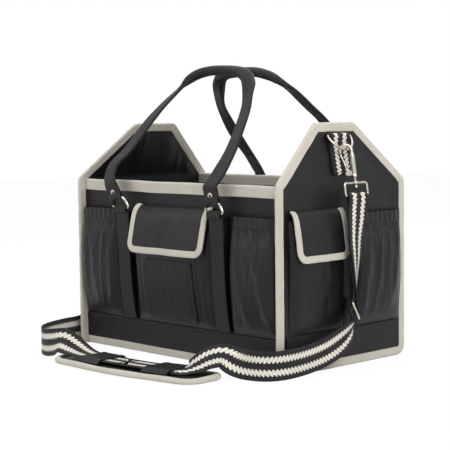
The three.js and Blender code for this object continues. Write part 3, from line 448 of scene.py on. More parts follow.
def addStudio():
    world = bpy.data.worlds.new("studio")
    world.use_nodes = True
    bpy.context.scene.world = world
    nodes, links = world.node_tree.nodes, world.node_tree.links
    nodes.clear()
    soft, white = nodes.new("ShaderNodeBackground"), nodes.new("ShaderNodeBackground")
    soft.inputs["Strength"].default_value = studio["fill"]
    for light in (soft, white):
        light.inputs["Color"].default_value = (1, 1, 1, 1)
    mixedOut(nodes, links, cameraLike(nodes, links), soft, white, "ShaderNodeOutputWorld")

    half, low = studio["floorSize"] / 2, studio["floorLow"]
    mesh = bpy.data.meshes.new("floor")
    corners = [(-half, -half, low), (half, -half, low), (half, half, low), (-half, half, low)]
    mesh.from_pydata(corners, [], [(0, 1, 2, 3)])
    floor = bpy.data.objects.new("floor", mesh)
    bpy.context.scene.collection.objects.link(floor)
    material = bpy.data.materials.new("paperFloor")
    material.use_nodes = True
    nodes, links = material.node_tree.nodes, material.node_tree.links
    nodes.clear()
    matte, glow = nodes.new("ShaderNodeBsdfDiffuse"), nodes.new("ShaderNodeEmission")
    shade = studio["floorShade"]
    matte.inputs["Color"].default_value = (shade, shade, shade, 1)
    part = nodes.new("ShaderNodeMath")
    part.operation = "MULTIPLY"
    part.inputs[1].default_value = studio["floorWhite"]
    links.new(cameraLike(nodes, links), part.inputs[0])
    mixedOut(nodes, links, part.outputs[0], matte, glow, "ShaderNodeOutputMaterial")
    mesh.materials.append(material)


addCamera()
addLamps()
addStudio()
bpy.context.scene.view_settings.view_transform = "Standard"
print("camera, floor and lamps placed")


# Shared effects, as node groups.

class Sums:  # short way to chain Math nodes in one tree
    def __init__(self, tree):
        self.tree = tree

    def node(self, kind, **sockets):
        node = self.tree.nodes.new(kind)
        for name, value in sockets.items():
            self.feed(node.inputs[name], value)
        return node

    def feed(self, socket, value):
        if isinstance(value, bpy.types.NodeSocket):
            self.tree.links.new(value, socket)
        else:
            socket.default_value = value

    def do(self, operation, a, b=0.0, c=0.0, clamp=False):
        node = self.tree.nodes.new("ShaderNodeMath")
        node.operation, node.use_clamp = operation, clamp
        for socket, value in zip(node.inputs, (a, b, c)):
            self.feed(socket, value)
        return node.outputs[0]

    def plus(self, a, b):
        return self.do("ADD", a, b)

    def times(self, a, b):
        return self.do("MULTIPLY", a, b)

    def wave(self, turns):  # sine of whole turns, from 0 to 1
        return self.do("MULTIPLY_ADD", self.do("SINE", self.times(turns, math.tau)), 0.5, 0.5)

    def ramp(self, value, low, high, toLow=0.0, toHigh=1.0, kind="SMOOTHSTEP"):
        node = self.tree.nodes.new("ShaderNodeMapRange")
        node.interpolation_type = kind
        for socket, given in zip(node.inputs, (value, low, high, toLow, toHigh)):
            self.feed(socket, given)
        return node.outputs[0]

    def split(self, vector):
        return tuple(self.node("ShaderNodeSeparateXYZ", Vector=vector).outputs)

    def noise(self, vector, scale, detail=3.0, rough=0.55, distort=0.0):
        node = self.node("ShaderNodeTexNoise", Vector=vector, Scale=scale, Detail=detail, Roughness=rough,
                         Distortion=distort)
        return node.outputs[0]

    def colour(self, factor, a, b):
        node = self.tree.nodes.new("ShaderNodeMix")
        node.data_type = "RGBA"
        self.feed(node.inputs[0], factor)
        self.feed(node.inputs[6], a)
        self.feed(node.inputs[7], b)
        return node.outputs[2]


def effectGroup(build, inputs, outputs):
    tree = bpy.data.node_groups.new(build.__name__, "ShaderNodeTree")
    tree.interface.new_socket(name="Vector", in_out="INPUT", socket_type="NodeSocketVector")
    for label, value in inputs.items():
        socket = tree.interface.new_socket(name=label, in_out="INPUT", socket_type="NodeSocketFloat")
        socket.default_value = value
    for label in outputs:
        tree.interface.new_socket(name=label, in_out="OUTPUT", socket_type="NodeSocketFloat")
    taken, given = tree.nodes.new("NodeGroupInput"), tree.nodes.new("NodeGroupOutput")
    results = build(Sums(tree), *[taken.outputs[label] for label in ("Vector", *inputs)])
    for label, result in zip(outputs, results):
        tree.links.new(result, given.inputs[label])
    return tree


def plainWeave(s, vector, threads):
    x, y, _ = s.split(vector)
    a = s.do("SINE", s.times(s.times(x, threads), math.tau))
    b = s.do("SINE", s.times(s.times(y, threads), math.tau))
    height = s.do("MULTIPLY_ADD", s.times(a, b), 0.5, 0.5)
    return height, s.ramp(height, 0.0, 0.5)


def ribbedWeb(s, vector, pitch, slant):
    x, y, _ = s.split(vector)
    chevron = s.do("PINGPONG", s.do("DIVIDE", x, pitch), 1.6)
    turn = s.plus(s.do("DIVIDE", y, pitch), s.times(chevron, slant))
    rib = s.wave(turn)
    rows = s.do("MULTIPLY_ADD", s.do("SINE", s.times(s.do("DIVIDE", x, pitch), math.tau * 0.8)),
                0.5, 0.5)
    height = s.plus(s.times(rib, 0.7), s.times(rows, 0.3))
    return height, s.do("POWER", height, 0.6)


def clothCreases(s, vector, scale, sharp):
    big = s.noise(vector, scale, 2.0, 0.5, 1.2)
    ridge = s.do("SUBTRACT", 1.0, s.times(s.do("ABSOLUTE", s.do("SUBTRACT", big, 0.5)), 5.0),
                 clamp=True)
    fine = s.noise(vector, s.times(scale, 7.0), 3.0, 0.6)
    soft = s.plus(s.times(big, 0.75), s.times(s.do("POWER", ridge, sharp), 0.1))
    return s.plus(soft, s.times(fine, 0.12)), fine


def softMottle(s, vector, scale, contrast):
    n = s.noise(vector, scale, 4.0, 0.6)
    return (s.do("MULTIPLY_ADD", s.do("SUBTRACT", n, 0.5), contrast, 0.5, clamp=True),)


def rubbedLint(s, vector, amount):  # loose fibres and dust that catch on dark cloth
    specks = s.noise(vector, 420.0, 2.0, 0.7)
    area = s.noise(vector, 9.0, 2.0, 0.5)
    level = s.times(s.ramp(specks, 0.62, 0.78), s.ramp(area, 0.35, 0.7))
    return (s.times(level, amount),)


effects = {
    "weave": effectGroup(plainWeave, {"Threads": 1500.0}, ["Height", "Mask"]),
    "ribs": effectGroup(ribbedWeb, {"Pitch": 0.0016, "Slant": 0.6}, ["Height", "Mask"]),
    "creases": effectGroup(clothCreases, {"Scale": 20.0, "Sharpness": 3.0}, ["Height", "Fine"]),
    "mottle": effectGroup(softMottle, {"Scale": 12.0, "Contrast": 2.0}, ["Value"]),
    "lint": effectGroup(rubbedLint, {"Amount": 1.0}, ["Mask"]),
}


def useEffect(s, key, **sockets):
    node = s.tree.nodes.new("ShaderNodeGroup")
    node.node_tree = effects[key]
    for name, value in sockets.items():
        s.feed(node.inputs[name], value)
    return node.outputs


def startMaterial(name, **fixed):
    material = bpy.data.materials.new(name)
    material.use_nodes = True
    tree = material.node_tree
    shader = tree.nodes["Principled BSDF"]
    for label, value in fixed.items():
        shader.inputs[label.replace("_", " ")].default_value = value
    s = Sums(tree)
    uv = s.node("ShaderNodeUVMap")
    uv.uv_map = "weave"
    place = s.node("ShaderNodeTexCoord").outputs["Object"]
    return material, s, shader, uv.outputs[0], place


def painted(s, shader, mask, deep, pale):
    s.tree.links.new(s.colour(mask, (*deep, 1), (*pale, 1)), shader.inputs["Base Color"])


def bumped(s, shader, height):
    bump = s.node("ShaderNodeBump", Height=height, Distance=1.0, Strength=1.0)
    s.tree.links.new(bump.outputs[0], shader.inputs["Normal"])


def roughened(s, shader, mask, span, low=0.0, high=1.0):
    s.feed(shader.inputs["Roughness"], s.ramp(mask, low, high, *span, "LINEAR"))


lintColour = (0.22, 0.21, 0.2, 1)


def nylon(name, deep, pale, rough, threads, weaveDepth, crease, creaseDepth, mapped=True):
    material, s, shader, uv, place = startMaterial(name, Specular_IOR_Level=0.22)
    uv = uv if mapped else place
    weave = useEffect(s, "weave", Vector=uv, Threads=threads)
    fold = useEffect(s, "creases", Vector=place, Scale=crease, Sharpness=3.0)
    spots = useEffect(s, "mottle", Vector=place, Scale=14.0, Contrast=1.8)["Value"]
    dust = useEffect(s, "lint", Vector=place, Amount=0.05)["Mask"]
    # painted shade: the colour darkens in the weave's dips, mixed with random mottle
    mottleAndWeaveShade = s.plus(s.times(spots, 0.7), s.times(weave["Mask"], 0.3))
    base = s.colour(mottleAndWeaveShade, (*deep, 1), (*pale, 1))
    base = s.colour(dust, base, lintColour)
    s.tree.links.new(base, shader.inputs["Base Color"])
    patchy = s.plus(s.times(spots, 0.6), s.times(fold["Fine"], 0.4))
    roughened(s, shader, patchy, rough, 0.2, 0.8)
    height = s.plus(s.times(weave["Height"], weaveDepth),
                  s.times(fold["Height"], creaseDepth))
    bumped(s, shader, height)
    return material


def webbing(name, deep, pale, rough, pitch, depth, stripes=None, sheen=0.04, slant=0.6):
    material, s, shader, uv, place = startMaterial(name, Sheen_Weight=sheen, Sheen_Roughness=0.5,
                                                   Specular_IOR_Level=0.2)
    ribs = useEffect(s, "ribs", Vector=uv, Pitch=pitch, Slant=slant)
    spots = useEffect(s, "mottle", Vector=place, Scale=30.0, Contrast=2.0)["Value"]
    # painted shade: the colour darkens in the rib valleys, over random mottle
    ribShadeAndMottle = s.times(ribs["Mask"], s.do("MULTIPLY_ADD", spots, 0.5, 0.6))
    base = s.colour(ribShadeAndMottle, (*deep, 1), (*pale, 1))
    if stripes:  # two woven stripes with a stepped edge
        x, y, _ = s.split(uv)
        inside = s.do("SUBTRACT", s.do("ABSOLUTE", x), stripes["middle"])
        run = s.plus(y, s.times(inside, stripes["slant"]))
        tooth = s.do("PINGPONG", s.do("DIVIDE", run, stripes["step"] / 2), 1.0)
        step = s.times(s.ramp(tooth, 0.25, 0.8), stripes["bite"])
        off = s.do("ABSOLUTE", inside)
        mask = s.ramp(s.plus(off, step), stripes["half"], stripes["half"] + 0.00025, 1.0, 0.0)
        shade = s.do("MULTIPLY", ribs["Mask"], s.do("MULTIPLY_ADD", spots, 0.35, 0.75), clamp=True)
        shade = s.times(shade, s.ramp(tooth, 0.55, 1.0, 1.0, 0.55))
        light = s.colour(shade, (*stripes["deep"], 1), (*stripes["pale"], 1))
        base = s.colour(mask, base, light)
    s.tree.links.new(base, shader.inputs["Base Color"])
    roughened(s, shader, spots, rough)
    bumped(s, shader, s.times(ribs["Height"], depth))
    return material


def leather(name):
    material, s, shader, _, place = startMaterial(name, Specular_IOR_Level=0.2)
    cells = s.node("ShaderNodeTexVoronoi", Vector=place, Scale=900.0)
    cells.feature = "DISTANCE_TO_EDGE"
    grain = s.ramp(cells.outputs[0], 0.0, 0.35)
    spots = useEffect(s, "mottle", Vector=place, Scale=26.0, Contrast=2.0)["Value"]
    wide = s.noise(place, 120.0, 3.0, 0.6)
    painted(s, shader, spots, (0.0065, 0.0062, 0.0062), (0.0125, 0.0118, 0.0115))
    roughened(s, shader, spots, (0.42, 0.58))
    bumped(s, shader, s.plus(s.times(grain, 0.00006), s.times(wide, 0.00012)))
    return material


def plated(name, brightReflection, darkReflection, rough):
    material, s, shader, _, place = startMaterial(name, Metallic=1.0)
    spots = useEffect(s, "mottle", Vector=place, Scale=90.0, Contrast=2.4)["Value"]
    drawn = s.node("ShaderNodeMapping", Vector=place, Scale=(600, 600, 60)).outputs[0]
    scratch = s.noise(drawn, 1.0, 2.0, 0.6)
    # painted reflection: random patches of bright and dark nickel stand in for the light and dark
    # surroundings the metal would mirror
    painted(s, shader, spots, brightReflection, darkReflection)
    patchy = s.plus(s.times(spots, 0.5), s.times(scratch, 0.5))
    roughened(s, shader, patchy, rough, 0.25, 0.75)
    bumped(s, shader, s.times(s.noise(place, 260.0, 3.0, 0.5), 0.00005))
    return material


def boardFace(name):
    material, s, shader, uv, place = startMaterial(name, Specular_IOR_Level=0.3)
    weave = useEffect(s, "weave", Vector=uv, Threads=900.0)
    spots = useEffect(s, "mottle", Vector=place, Scale=10.0, Contrast=2.2)["Value"]
    painted(s, shader, spots, (0.011, 0.011, 0.011), (0.022, 0.021, 0.021))
    roughened(s, shader, spots, (0.6, 0.8))
    bumped(s, shader, s.times(weave["Height"], 0.00008))
    return material


stripeRow = {"middle": 0.0082, "half": 0.0043, "step": 0.0054, "bite": 0.0021, "slant": 0.55,
             "deep": (0.3, 0.28, 0.24), "pale": (0.78, 0.745, 0.665)}
look = {
    "shell": nylon("coatedNylon", (0.0052, 0.0048, 0.0053), (0.0098, 0.0092, 0.0101), (0.3, 0.44), 1350,
                   0.00004, 16, 0.0009),
    "pocket": nylon("pocketNylon", (0.0055, 0.0051, 0.0056), (0.0105, 0.0098, 0.0108), (0.28, 0.42), 1350,
                    0.00004, 22, 0.0008),
    "heavy": nylon("heavyNylon", (0.0048, 0.0044, 0.0046), (0.0085, 0.008, 0.0083), (0.42, 0.58), 800,
                   0.0001, 12, 0.0006),
    "padCloth": nylon("loopNylon", (0.0065, 0.0062, 0.007), (0.0125, 0.012, 0.0132), (0.4, 0.55), 1100,
                      0.00006, 26, 0.0005),
    "padPlain": nylon("padNylon", (0.006, 0.0057, 0.0065), (0.0115, 0.011, 0.0122), (0.36, 0.5), 1100,
                      0.00006, 30, 0.0007, mapped=False),
    "tape": webbing("paleTape", (0.305, 0.282, 0.24), (0.5, 0.469, 0.408), (0.6, 0.8), 0.00075, 0.00011,
                    sheen=0.2, slant=0.0),
    "handle": webbing("handleWebbing", (0.0052, 0.0045, 0.0048), (0.0205, 0.018, 0.0187), (0.55, 0.72),
                      0.0014, 0.00035),
    "band": webbing("blackWebbing", (0.004, 0.0037, 0.0038), (0.0145, 0.0137, 0.0138), (0.5, 0.68), 0.0013,
                    0.00028),
    "striped": webbing("stripedWebbing", (0.0042, 0.004, 0.004), (0.016, 0.015, 0.015), (0.55, 0.72),
                       0.0016, 0.0003, stripeRow),
    "thread": webbing("paleThread", (0.4, 0.375, 0.32), (0.62, 0.585, 0.515), (0.55, 0.7), 0.0004, 0.00006),
    "blackThread": webbing("blackThread", (0.012, 0.0115, 0.0118), (0.04, 0.038, 0.039), (0.5, 0.6), 0.0004,
                           0.00006),
    "leather": leather("patchLeather"),
    "nickel": plated("nickelPlate", (0.6, 0.55, 0.48), (0.36, 0.325, 0.28), (0.12, 0.3)),
    "slideMetal": plated("slideNickel", (0.66, 0.61, 0.54), (0.42, 0.385, 0.335), (0.16, 0.34)),
    "board": boardFace("baseBoard"),
}
print("materials ready:", len(look))


# Shoulder strap: free webbing first, then its doubled ends.

strap = {
    "width": 37.4, "ply": 1.5, "slideAt": (219.0, -2.0, 78.084), "travel": 50, "returnFrom": 72,
    "rightEnd": [  # share of length, width and shoulder height, then the width direction; top to bottom
        (0.5555, 0.005, 0.875, 0, 1, 0), (0.5565, -0.002, 0.82, -0.05, 1, 0),
        (0.5565, -0.013, 0.726, -0.21, 0.98, 0), (0.5555, -0.018, 0.622, -0.37, 0.93, 0),
        (0.5535, -0.016, 0.52, -0.54, 0.84, 0), (0.5505, -0.012, 0.42, -0.67, 0.74, 0),
    ],
    "slide": (0.5475, -0.008, 0.324, -0.71, 0.7, 0),
    "right": [
        (0.545, -0.045, 0.2, -0.3, 0.8, -0.5), (0.5415, -0.12, 0.15, -0.04, 0.43, -0.9),
        (0.539, -0.22, 0.114, 0, 0.24, -0.97), (0.5365, -0.34, 0.093, 0, 0.13, -0.99),
        (0.531, -0.46, 0.083, 0, 0, -1), (0.519, -0.548, 0.0815, 0, 0, -1), (0.4925, -0.6, 0.0815, 0, 0, -1),
        (0.44, -0.62, 0.0815, 0, -0.12, -0.99), (0.395, -0.628, 0.09, 0.08, -0.46, -0.88),
        (0.353, -0.655, 0.118, 0.38, -0.6, -0.7), (0.325, -0.708, 0.106, 0.74, -0.38, -0.55),
        (0.303, -0.762, 0.075, 0.8, -0.46, -0.38), (0.278, -0.803, 0.051, 0.47, -0.86, -0.2),
        (0.215, -0.829, 0.0481, 0.17, -0.98, 0), (0.16, -0.844, 0.0481, 0.17, -0.98, 0),
        (0.1, -0.856, 0.0481, 0.1, -0.99, 0), (0.05, -0.862, 0.0481, 0.05, -1, 0),
    ],
    "left": [
        (0.045, -0.863, 0.0481, 0.05, -1, 0), (-0.02, -0.867, 0.0481, 0.02, -1, 0),
        (-0.082, -0.868, 0.0481, 0, -1, 0), (-0.14, -0.867, 0.0483, 0, -1, 0),
        (-0.19, -0.868, 0.058, 0, -0.98, -0.12),
        (-0.235, -0.878, 0.083, 0.02, -0.88, -0.42), (-0.28, -0.895, 0.109, 0.03, -0.6, -0.76),
        (-0.325, -0.906, 0.093, 0, -0.2, -0.97), (-0.38, -0.895, 0.0815, 0, 0, -1),
        (-0.43, -0.855, 0.0815, 0, 0, -1), (-0.468, -0.79, 0.0815, 0, 0, -1), (-0.5, -0.69, 0.0815, 0, 0, -1),
        (-0.524, -0.57, 0.08, 0.1, 0, -1), (-0.538, -0.45, 0.08, 0.2, 0.05, -0.97),
        (-0.546, -0.34, 0.102, 0.18, 0.25, -0.95), (-0.55, -0.23, 0.155, 0.1, 0.5, -0.86),
        (-0.552, -0.14, 0.235, 0.05, 0.75, -0.65),
        (-0.554, -0.08, 0.33, 0, 0.92, -0.4), (-0.555, -0.045, 0.43, 0, 0.98, -0.15),
        (-0.556, -0.028, 0.54, 0, 1, 0), (-0.556, -0.02, 0.64, 0, 1, 0),
    ],
    "leftEnd": [(-0.5565, -0.01, 0.82, 0, 1, 0), (-0.557, -0.014, 0.74, 0, 1, 0),
                (-0.5565, -0.019, 0.657, 0, 1, 0)],
}
bars = {  # foot bar of each swivel loop and its hanging direction
    "right": {"at": (220.112, 2.010, 224.440), "up": (-0.15643, 0, 0.98769)},
    "left": {"at": (-221.452, -2.088, 227.149), "up": (0.27564, 0, 0.96126)},
}
scaleRow = np.array([bag["length"], bag["width"], bag["shoulder"]], float)


def strapRoute(rows, steps=8):  # centre points and width directions
    rows = np.asarray(rows, float)
    points = curveThrough(rows[:, :3] * scaleRow, steps)
    across = unitOf(curveThrough(unitOf(rows[:, 3:]), steps))
    return points, across


def squareTo(path, across):  # width directions made square to the path
    t = tangents(path)
    across = unitOf(across - t * np.sum(across * t, 1, keepdims=True))
    return across, np.cross(across, t)


def webRibbon(patch, path, across, width=None, ply=None, along=0.0, caps=True):
    across, out = squareTo(path, across)
    width, ply = width or strap["width"], ply or strap["ply"]
    return patch.sweep(path, across, out, bandSection(width, ply, ply * 0.48, 14), caps=caps, along=along)


def makeCordStraps():
    last = np.array(strap["rightEnd"][-1][:3]) * scaleRow
    at = np.array(strap["slideAt"])
    along = unitOf(last - at)
    start = [np.concatenate([(at - along * d) / scaleRow, strap["slide"][3:]]) for d in (0, 9, 17)]
    meet = (strap["left"][0][0] + 0.0001, *strap["right"][-1][1:])
    pathR, acrossR = strapRoute([*start, *strap["right"], meet])
    _, out = squareTo(pathR, acrossR)
    run = lengthsAlong(pathR)
    pathR = pathR + out * (plyOffset(-run) * smoothStep(34, 8, run))[:, None]
    right = Patchwork()
    webRibbon(right, pathR, acrossR, along=-run[-1])
    strapRight = right.make("strapRight", None, "striped_webbing", "striped", "strap_right")
    pathL, acrossL = strapRoute(strap["left"])
    left = Patchwork()
    webRibbon(left, pathL, acrossL)
    strapLeft = left.make("strapLeft", None, "striped_webbing", "striped", "strap_left")
    return strapRight, pathR, strapLeft, pathL


def plyOffset(t):  # how far the outer ply stands off the middle line, by distance above the slide
    t = np.asarray(t, float)
    rise = 0.9 + 1.1 * smoothStep(95, 66, t)
    hump = 1.65 * np.exp(-(t / 6.5) ** 2)
    return np.where(t > 0, rise + hump, 2.0 + hump - 1.15 * smoothStep(-8, -24, t))


strapRight, rightRoute, strapLeft, leftRoute = makeCordStraps()
print("free strap laid:", round(lengthsAlong(rightRoute)[-1]), "and", round(lengthsAlong(leftRoute)[-1]),
      "mm")


# Hooks, rings and wire fittings.

hook = {"eye": 7.5, "rod": 2.3, "barrel": 3.2, "barrelTop": -5, "barrelFoot": -35, "pivot": -29, "gate": 2.4,
        "loopTop": -42, "loopDrop": 16, "loopWire": 1.75, "loopHalf": 21.5, "boss": 3.9, "stud": 1.6,
        "ball": 2.7}
endRing = {"up": 60, "stand": 4, "radius": 21.8, "wire": 1.65, "fillet": 1.9, "tilt": 26}
hookSets = {"right": {"tilt": 9, "swing": 32, "aside": -2}, "left": {"tilt": 16, "swing": 32, "aside": -2}}
endTab = {"tail": 9, "ply": 1.7, "seat": 0.3, "box": [(-16, 12), (16, 12), (16, 36), (-16, 36)]}


def endFrames(name):  # leaning panel, ring and hook frames of one end, all in the bag's frame
    turn = halfTurn(name == "left")
    rise = bag["peak"] - bag["shoulder"]
    lean = bag["lean"][name]
    t = unitOf([-lean, 0, rise])
    s = np.array([0.0, 1, 0])
    n = np.cross(s, t)
    at = np.array([bag["endFace"], 0, bag["shoulder"]])
    bar = at + n * endRing["stand"] + t * endRing["up"]
    tilt = math.radians(endRing["tilt"])
    down = -t * math.cos(tilt) + n * math.sin(tilt)
    own = hookSets[name]
    k, q = math.radians(own["tilt"]), math.radians(own["swing"])
    h = np.array([-math.sin(k), 0, math.cos(k)])
    side = np.array([-math.cos(q), -math.sin(q), 0])
    p = unitOf(side - h * (side @ h))
    w = np.cross(p, h)
    drop = hook["eye"] - hook["rod"] - endRing["wire"] - 1.0
    eye = bar + down * endRing["radius"] + s * own["aside"] - h * drop
    axis = eye - p * hook["eye"]
    across = np.array([0.0, 1, 0])
    rows = {"panel": (s, -n, t, at), "ring": (s, down, np.cross(s, down), bar), "hook": (p, h, w, eye),
            "loop": (across, h, np.cross(across, h), axis)}
    return {key: [turn @ v for v in row] for key, row in rows.items()}


def placeIn(row, p):  # points of a local frame (x, y, z, origin) in the bag's frame
    p = np.asarray(p, float)
    x, y, z, at = row
    return p[..., :1] * x + p[..., 1:2] * y + p[..., 2:3] * z + at


def flatIn(row, p):  # points of the frame's own x and y plane
    return placeIn(row, np.concatenate([p, np.zeros((len(p), 1))], 1))


def ringPath(radius, fillet, steps=14):
    start = math.asin(fillet / radius)
    half = [(radius - fillet + fillet * math.cos(a), fillet + fillet * math.sin(a))
            for a in np.linspace(-math.pi / 2, 0.2, 7)]
    half += [(radius * math.cos(a), radius * math.sin(a))
             for a in np.linspace(start + 0.08, math.pi / 2, steps)]
    other = [(-x, y) for x, y in half[-2::-1]]
    flat = np.array([*half, *other])
    bar = [(x, 0.0) for x in np.linspace(flat[-1][0], flat[0][0], 12)[1:-1]]
    return np.array([*flat, *bar])


def makeRing(name, body, node, row, radius, fillet, wire):
    ring = Patchwork()
    ring.wire(flatIn(row, ringPath(radius, fillet)), wire, 14, closed=True)
    seam = placeIn(row, [(-0.35, 0, 0), (0.35, 0, 0)])
    ring.wire(np.linspace(seam[0], seam[1], 5), wire * np.array([0.9, 1.03, 1.05, 1.03, 0.9]), 14)
    return ring.make(name, body, "nickel", "nickel", node, angle=60)


def makeHook(name, rows):
    row = rows["hook"]
    body = name + "_hanger"
    r, rod, barrel = hook["eye"], hook["rod"], hook["barrel"]
    bow = [(-r, hook["barrelTop"] - 2, 0)]
    bow += [(r * math.cos(a), r * math.sin(a), 0) for a in np.linspace(math.pi, 0, 26)]
    bow += [(r, -rod * 0.6, 0), (r, -rod, 0)]
    bow = resample(placeIn(row, bow), 1.0)
    thick = np.full(len(bow), rod)
    thick[:5] = rod * np.array([1.12, 1.1, 1.06, 1.03, 1.01])
    thick[-3:] = rod * np.array([1.0, 0.97, 0.82])
    metal = Patchwork()
    metal.wire(bow, thick, 16)
    foot = placeIn(row, (-r, 0, 0))
    up = row[1]
    top, low = hook["barrelTop"], hook["barrelFoot"]
    profile = [(top + 1.4, rod), (top + 0.9, rod * 1.1), (top + 0.3, barrel * 0.97), (top - 0.4, barrel),
               (top - 4.4, barrel), (top - 4.7, barrel * 0.86), (top - 5.3, barrel * 0.86),
               (top - 5.6, barrel), (top - 15, barrel), (top - 22.5, barrel), (low + 5.0, barrel),
               (low + 4.6, barrel * 0.9), (low + 4.1, barrel * 0.9), (low + 3.7, barrel),
               (low + 1.2, barrel), (low + 0.5, barrel * 0.93), (low, barrel * 0.72),
               (low - 0.2, hook["stud"])]
    metal.turned(profile, foot, up, 28)
    ballAt = hook["loopTop"] - hook["boss"] / 2 - hook["ball"]
    stem = [(low + 1, hook["stud"]), (ballAt + 3.2, hook["stud"])]
    stem += [(ballAt + hook["ball"] * math.cos(a), hook["ball"] * math.sin(a))
             for a in np.linspace(0.62, math.pi - 0.05, 12)]
    metal.turned(stem, foot, up, 24)
    for side in (-1, 1):  # ears that hold the gate
        level = side * (hook["gate"] / 2 + 0.75)
        ring = [(3.0 * math.cos(a), hook["pivot"] + 3.0 * math.sin(a)) for a in np.linspace(-1.9, 1.9, 15)]
        ring = [(-r, hook["pivot"] - 2.9), *ring, (-r, hook["pivot"] + 2.9)]
        faces = [[(x, y, level - 0.42) for x, y in ring], [(x, y, level + 0.42) for x, y in ring]]
        metal.grid(placeIn(row, np.array(faces)), closeCols=True, caps=(True, True))
    metal.turned([(-2.6, 1.0), (-2.3, 1.75), (-1.95, 1.85), (1.95, 1.85), (2.3, 1.75), (2.6, 1.0)],
                 placeIn(row, (0, hook["pivot"], 0)), row[2], 18)
    metal.make(name + "Hook", body, "nickel", "nickel", name + "_hook", angle=50)

    lever = Patchwork()
    top = -rod - 0.5
    line = curveThrough([(0.1, hook["pivot"] - 1.2), (0.9, hook["pivot"] + 3), (2.2, -20), (4.3, -12.5),
                         (6.2, -6.5), (6.9, top - 0.6)], 6)
    share = np.linspace(0, 1, len(line))
    wide = np.interp(share, [0, 0.3, 0.42, 0.75, 0.92, 1], [2.2, 2.2, 3.0, 3.3, 3.5, 2.6])
    thick = np.interp(share, [0, 0.2, 0.6, 0.9, 1], [2.2, 2.1, 1.6, 2.0, 1.6])
    flat = np.concatenate([line, np.zeros((len(line), 1))], 1)
    along = tangents(flat)
    side = np.stack([along[:, 1], -along[:, 0], along[:, 2]], 1) @ np.array(row[:3])
    sections = np.array([bandSection(a, b, min(a, b) * 0.35, 2, 3) for a, b in zip(wide, thick)])
    lever.sweep(placeIn(row, flat), facing(side, row[2]), side, sections)
    lever.turned([(-1.15, 0.6), (-1.1, 2.85), (1.1, 2.85), (1.15, 0.6)],
                 placeIn(row, (0, hook["pivot"], 0)), row[2], 22)
    nubAt = placeIn(row, (3.6, -14.4, 0))
    lever.turned([(-1.7, 0.4), (-1.5, 0.75), (1.5, 0.75), (1.7, 0.4)], nubAt, row[2], 10)
    lever.make(name + "HookGate", name + "_gate", "nickel", "nickel", name + "_hook_gate", angle=50)

    row = rows["loop"]
    foot, high, half = hook["loopTop"] - hook["loopDrop"], hook["loopTop"], hook["loopHalf"]
    corners = [(-half, foot), (half, foot), (half, high), (-half, high)]
    path = resample(roundedOutline(corners, [2.4, 2.4, 3.4, 3.4], 6), 1.0, closed=True)
    frameWire = Patchwork()
    frameWire.wire(flatIn(row, path), hook["loopWire"], 14, closed=True)
    b, hole = hook["boss"], hook["stud"] + 0.25
    boss = [(-b / 2 - 0.1, hole), (-b / 2 - 0.1, b * 0.8), (-b / 2 + 0.5, b * 0.98), (0, b * 1.03),
            (b / 2 - 0.5, b * 0.98), (b / 2 + 0.1, b * 0.8), (b / 2 + 0.1, hole)]
    frameWire.turned(boss, placeIn(row, (0, high, 0)), row[1], 26)
    frameWire.make(name + "SwivelLoop", name + "_loop", "nickel", "nickel", name + "_swivel_loop",
                   angle=60)


def makeEndTab(name, rows):  # doubled striped web round the bar of the end ring
    row = rows["panel"]
    fold = endRing["wire"] + 0.2 + endTab["ply"] / 2
    inner, outer = -(endTab["seat"] + endTab["ply"] / 2), -(endTab["seat"] + 1.55 * endTab["ply"])
    bend = np.linspace(-math.pi / 2, math.pi / 2, 15)
    bar = (endRing["stand"], endRing["up"])
    route = [(inner, endTab["tail"]), (inner, 22), (inner, 40), (inner - 0.1, 50)]
    route += [(-bar[0] + fold * math.sin(-a), bar[1] + fold * math.cos(a)) for a in bend]
    route += [(outer - 0.5, 50), (outer, 42), (outer, 22), (outer, endTab["tail"] + 1.5)]
    flat = resample(np.array(route), 1.5)
    path = placeIn(row, np.stack([np.zeros(len(flat)), flat[:, 0], flat[:, 1]], 1))
    web = Patchwork()
    webRibbon(web, path, facing(path, row[0]), 38, 1.55)
    web.make(name + "EndTab", "bag", "striped_webbing", "striped", name + "_end_tab")
    sewn = Patchwork()
    lift = outer - 0.85
    for ends in boxRuns:
        line = placeIn(row, [(endTab["box"][k][0], lift, endTab["box"][k][1]) for k in ends])
        sewn.stitches(line, facing(line, -row[1]), *seams["endBox"])
    sewn.make(name + "EndTabStitches", "bag", "striped_webbing", "blackThread")


slide = {"halfWide": 22, "halfHigh": 13, "wire": 1.5, "corner": 3.2, "tilt": 22}


def slideRow():
    at, across = np.array(strap["slideAt"]), unitOf(strap["slide"][3:])
    last = np.array(strap["rightEnd"][-1][:3]) * scaleRow
    along = unitOf(last - at)
    out = unitOf(np.cross(across, along))
    tilt = math.radians(slide["tilt"])
    up = along * math.cos(tilt) - out * math.sin(tilt)
    return (across, up, np.cross(across, up), at), along, out


def makeSlide():
    row, _, _ = slideRow()
    r = slide["wire"]
    w, h = slide["halfWide"] - r, slide["halfHigh"] - r
    outline = roundedOutline([(-w, -h), (w, -h), (w, h), (-w, h)], [slide["corner"]] * 4, 6)
    path = resample(outline, 1.1, closed=True)
    wire = Patchwork()
    wire.wire(flatIn(row, path), r, 14, closed=True)
    wire.wire(np.linspace(placeIn(row, (-w, 0, 0)), placeIn(row, (w, 0, 0)), 12), r * 0.96, 14)
    wire.make("slideFrame", "tri_glide", "slide_metal", "slideMetal", "tri_glide", angle=60)


def alongLine(line, frameAcross, t):  # points and width directions at distances along a middle line
    run = lengthsAlong(line)
    return readOff(t, run, line), unitOf(readOff(t, run, frameAcross))


def offLine(line, frameAcross, sign, t, offset):
    low, high = alongLine(line, frameAcross, t - 1)[0], alongLine(line, frameAcross, t + 1)[0]
    point, across = alongLine(line, frameAcross, t)
    out = sign * unitOf(np.cross(across, high - low))
    return point + out * np.asarray(offset)[:, None], across


